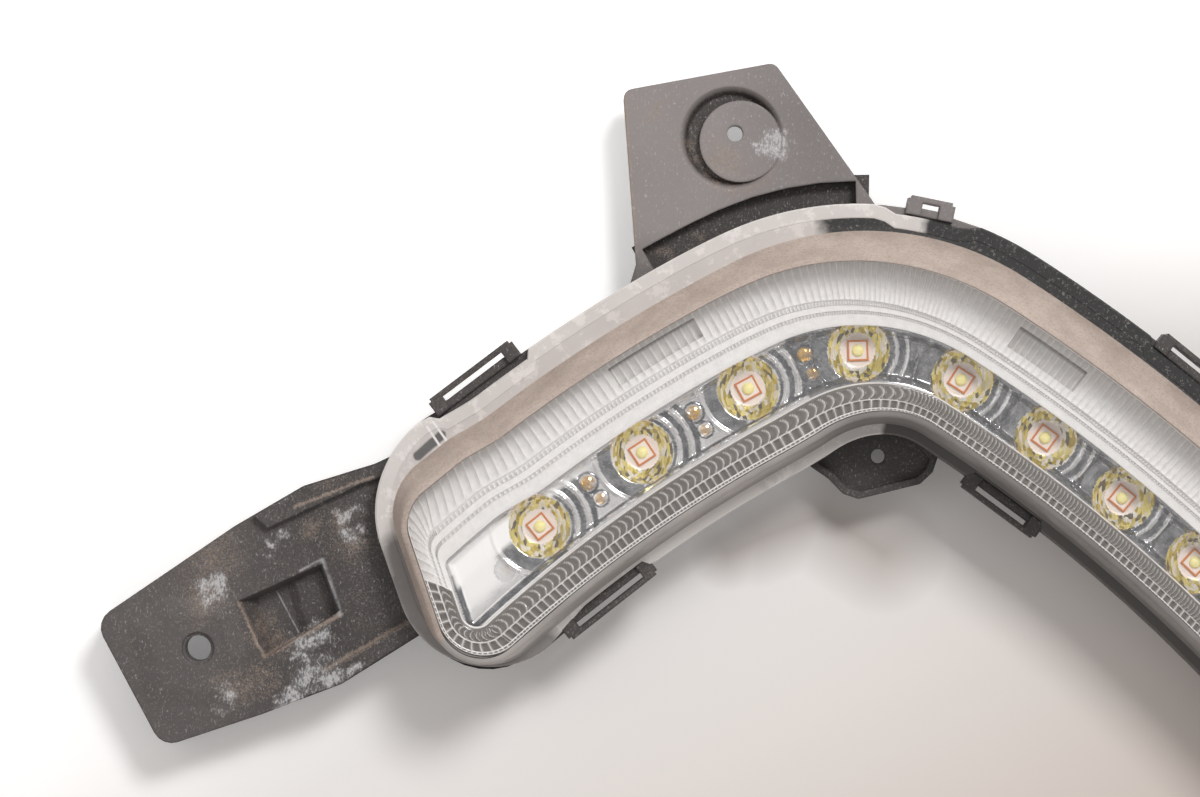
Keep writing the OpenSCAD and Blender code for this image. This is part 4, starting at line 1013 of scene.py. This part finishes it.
def led_piece(i, mats):
    """LED: pale disc, orange square frame and a yellow domed core."""
    centre = at(LED_S[i])
    turn = math.radians(float(heading(LED_S[i])))
    z0 = BOARD_TOP
    z1 = z0 + DISC_H
    disc = [(DISC_R, z0), (DISC_R, z1 - 0.2), (DISC_R - 0.2, z1), (0.01, z1)]
    base = ring_profile(f"led_disc_{i + 1}", centre, turn, disc, mats, [0, 0, 0])
    half = SQUARE_HALF
    angle = np.array([0.25, 0.75, 1.25, 1.75]) * math.pi + turn
    rows = []
    for r, z in ((half, z1 - 0.1), (half, z1 + 0.45), (half - 0.12, z1 + 0.55),
                 (half - 0.42, z1 + 0.55), (half - 0.5, z1 + 0.4), (0.01, z1 + 0.4)):
        xy = centre + r * math.sqrt(2) * np.stack([np.cos(angle), np.sin(angle)], -1)
        rows.append(to_frame(xy, z))
    faces = quads(len(rows), len(angle), close_cols=True)[:, ::-1]
    square = new_object(f"led_square_{i + 1}", np.concatenate(rows), faces, mats,
                        np.repeat([1, 1, 1, 1, 0], len(angle)))
    z2 = z1 + 0.38
    dome = [(CORE_R, z2)]
    dome += [(CORE_R * math.cos(a), z2 + 0.2 + 0.9 * math.sin(a)) for a in np.linspace(0, 1.55, 7)]
    core = ring_profile(f"led_core_{i + 1}", centre, turn, dome, mats, [2] * 7)
    for part in (square, core):
        part.parent = base
    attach(base, "root")
    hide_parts(f"led_{i + 1}")
    return base


def leds():
    """All LEDs, the ninth past the photograph's edge."""
    pale = simple("led_pale", (0.95, 0.84, 0.76), 0.35, var=0.06)
    orange = simple("led_orange", (0.68, 0.2, 0.035), 0.4)
    yellow = Nodes("led_yellow")
    core_tone = yellow.blend(yellow.noise(900, 2), (1.0, 0.84, 0.24), (1.0, 0.97, 0.55))
    yellow.set(Base_Color=core_tone, Roughness=0.45)
    mats = [pale, orange, yellow.mat]
    for i in range(LED_COUNT):
        led_piece(i, mats)


# Stage, lights and camera

def stage():
    """Floor under the part."""
    reach = 3
    verts = [(-reach, -reach, 0), (reach, -reach, 0), (reach, reach, 0), (-reach, reach, 0)]
    floor = new_object("floor", verts, [(0, 1, 2, 3)], [floor_paper()])


def area_light(name, place, size, energy):
    """Rectangular lamp that faces the middle of the part."""
    data = bpy.data.lights.new(name, "AREA")
    data.shape = "RECTANGLE"
    data.size, data.size_y = size
    data.energy = energy
    obj = bpy.data.objects.new(name, data)
    obj.location = place
    obj.rotation_euler = (-Vector(place)).to_track_quat("-Z", "Y").to_euler()
    bpy.context.scene.collection.objects.link(obj)
    return obj


def lights():
    """Lamps and a pale sky."""
    area_light("key", (0.46, 0.86, 1.3), (0.42, 0.42), 15)
    area_light("fill", (-0.1, -1.1, 1.1), (1.0, 0.8), 3)
    area_light("side", (-1.0, 0.5, 1.2), (0.8, 1.0), 1)
    world = bpy.data.worlds.new("studio")
    bpy.context.scene.world = world
    world.use_nodes = True
    tree = world.node_tree
    coord = tree.nodes.new("ShaderNodeTexCoord")
    split = tree.nodes.new("ShaderNodeSeparateXYZ")
    tree.links.new(coord.outputs["Generated"], split.inputs[0])

    def ramp(value, a, b, c, d):
        node = tree.nodes.new("ShaderNodeMapRange")
        tree.links.new(value, node.inputs["Value"])
        for key, v in zip(("From Min", "From Max", "To Min", "To Max"), (a, b, c, d)):
            node.inputs[key].default_value = v
        return node.outputs["Result"]

    # Darker overhead, where the camera is, and brighter behind the lamp than in front of it
    up = ramp(split.outputs["Z"], 0.8, 0.97, 0.5, 0.56)
    back = ramp(split.outputs["Y"], -0.8, 0.6, 0.55, 1.15)
    both = tree.nodes.new("ShaderNodeMath")
    both.operation = "MULTIPLY"
    tree.links.new(up, both.inputs[0])
    tree.links.new(back, both.inputs[1])
    background = tree.nodes["Background"]
    background.inputs["Color"].default_value = (1.0, 0.965, 0.945, 1.0)
    # Pale all round at the horizon
    level = tree.nodes.new("ShaderNodeMath")
    level.operation = "MAXIMUM"
    tree.links.new(both.outputs[0], level.inputs[0])
    tree.links.new(ramp(split.outputs["Z"], 0.04, 0.2, 1.0, 0.0), level.inputs[1])
    tree.links.new(level.outputs[0], background.inputs["Strength"])


# Distance of the camera in m and its sensor in mm
CAMERA_AWAY, SENSOR = 1.25, 36.0


def camera():
    """Camera straight above the point in the middle of the photograph."""
    data = bpy.data.cameras.new("camera")
    width = PHOTO_W / PX_PER_MM * MM
    data.sensor_width = SENSOR
    data.lens = SENSOR * CAMERA_AWAY / width
    data.clip_start = 0.05
    obj = bpy.data.objects.new("camera", data)
    obj.location = (*photo_spot(PHOTO_W / 2, PHOTO_H / 2), SCALE_Z * MM + CAMERA_AWAY)
    bpy.context.scene.collection.objects.link(obj)
    bpy.context.scene.camera = obj


camera()
stage()
lights()
dress_nodes()
fluted_bezel()
led_trough()
leds()
outer_lens()

bpy.context.scene.view_settings.view_transform = "Standard"
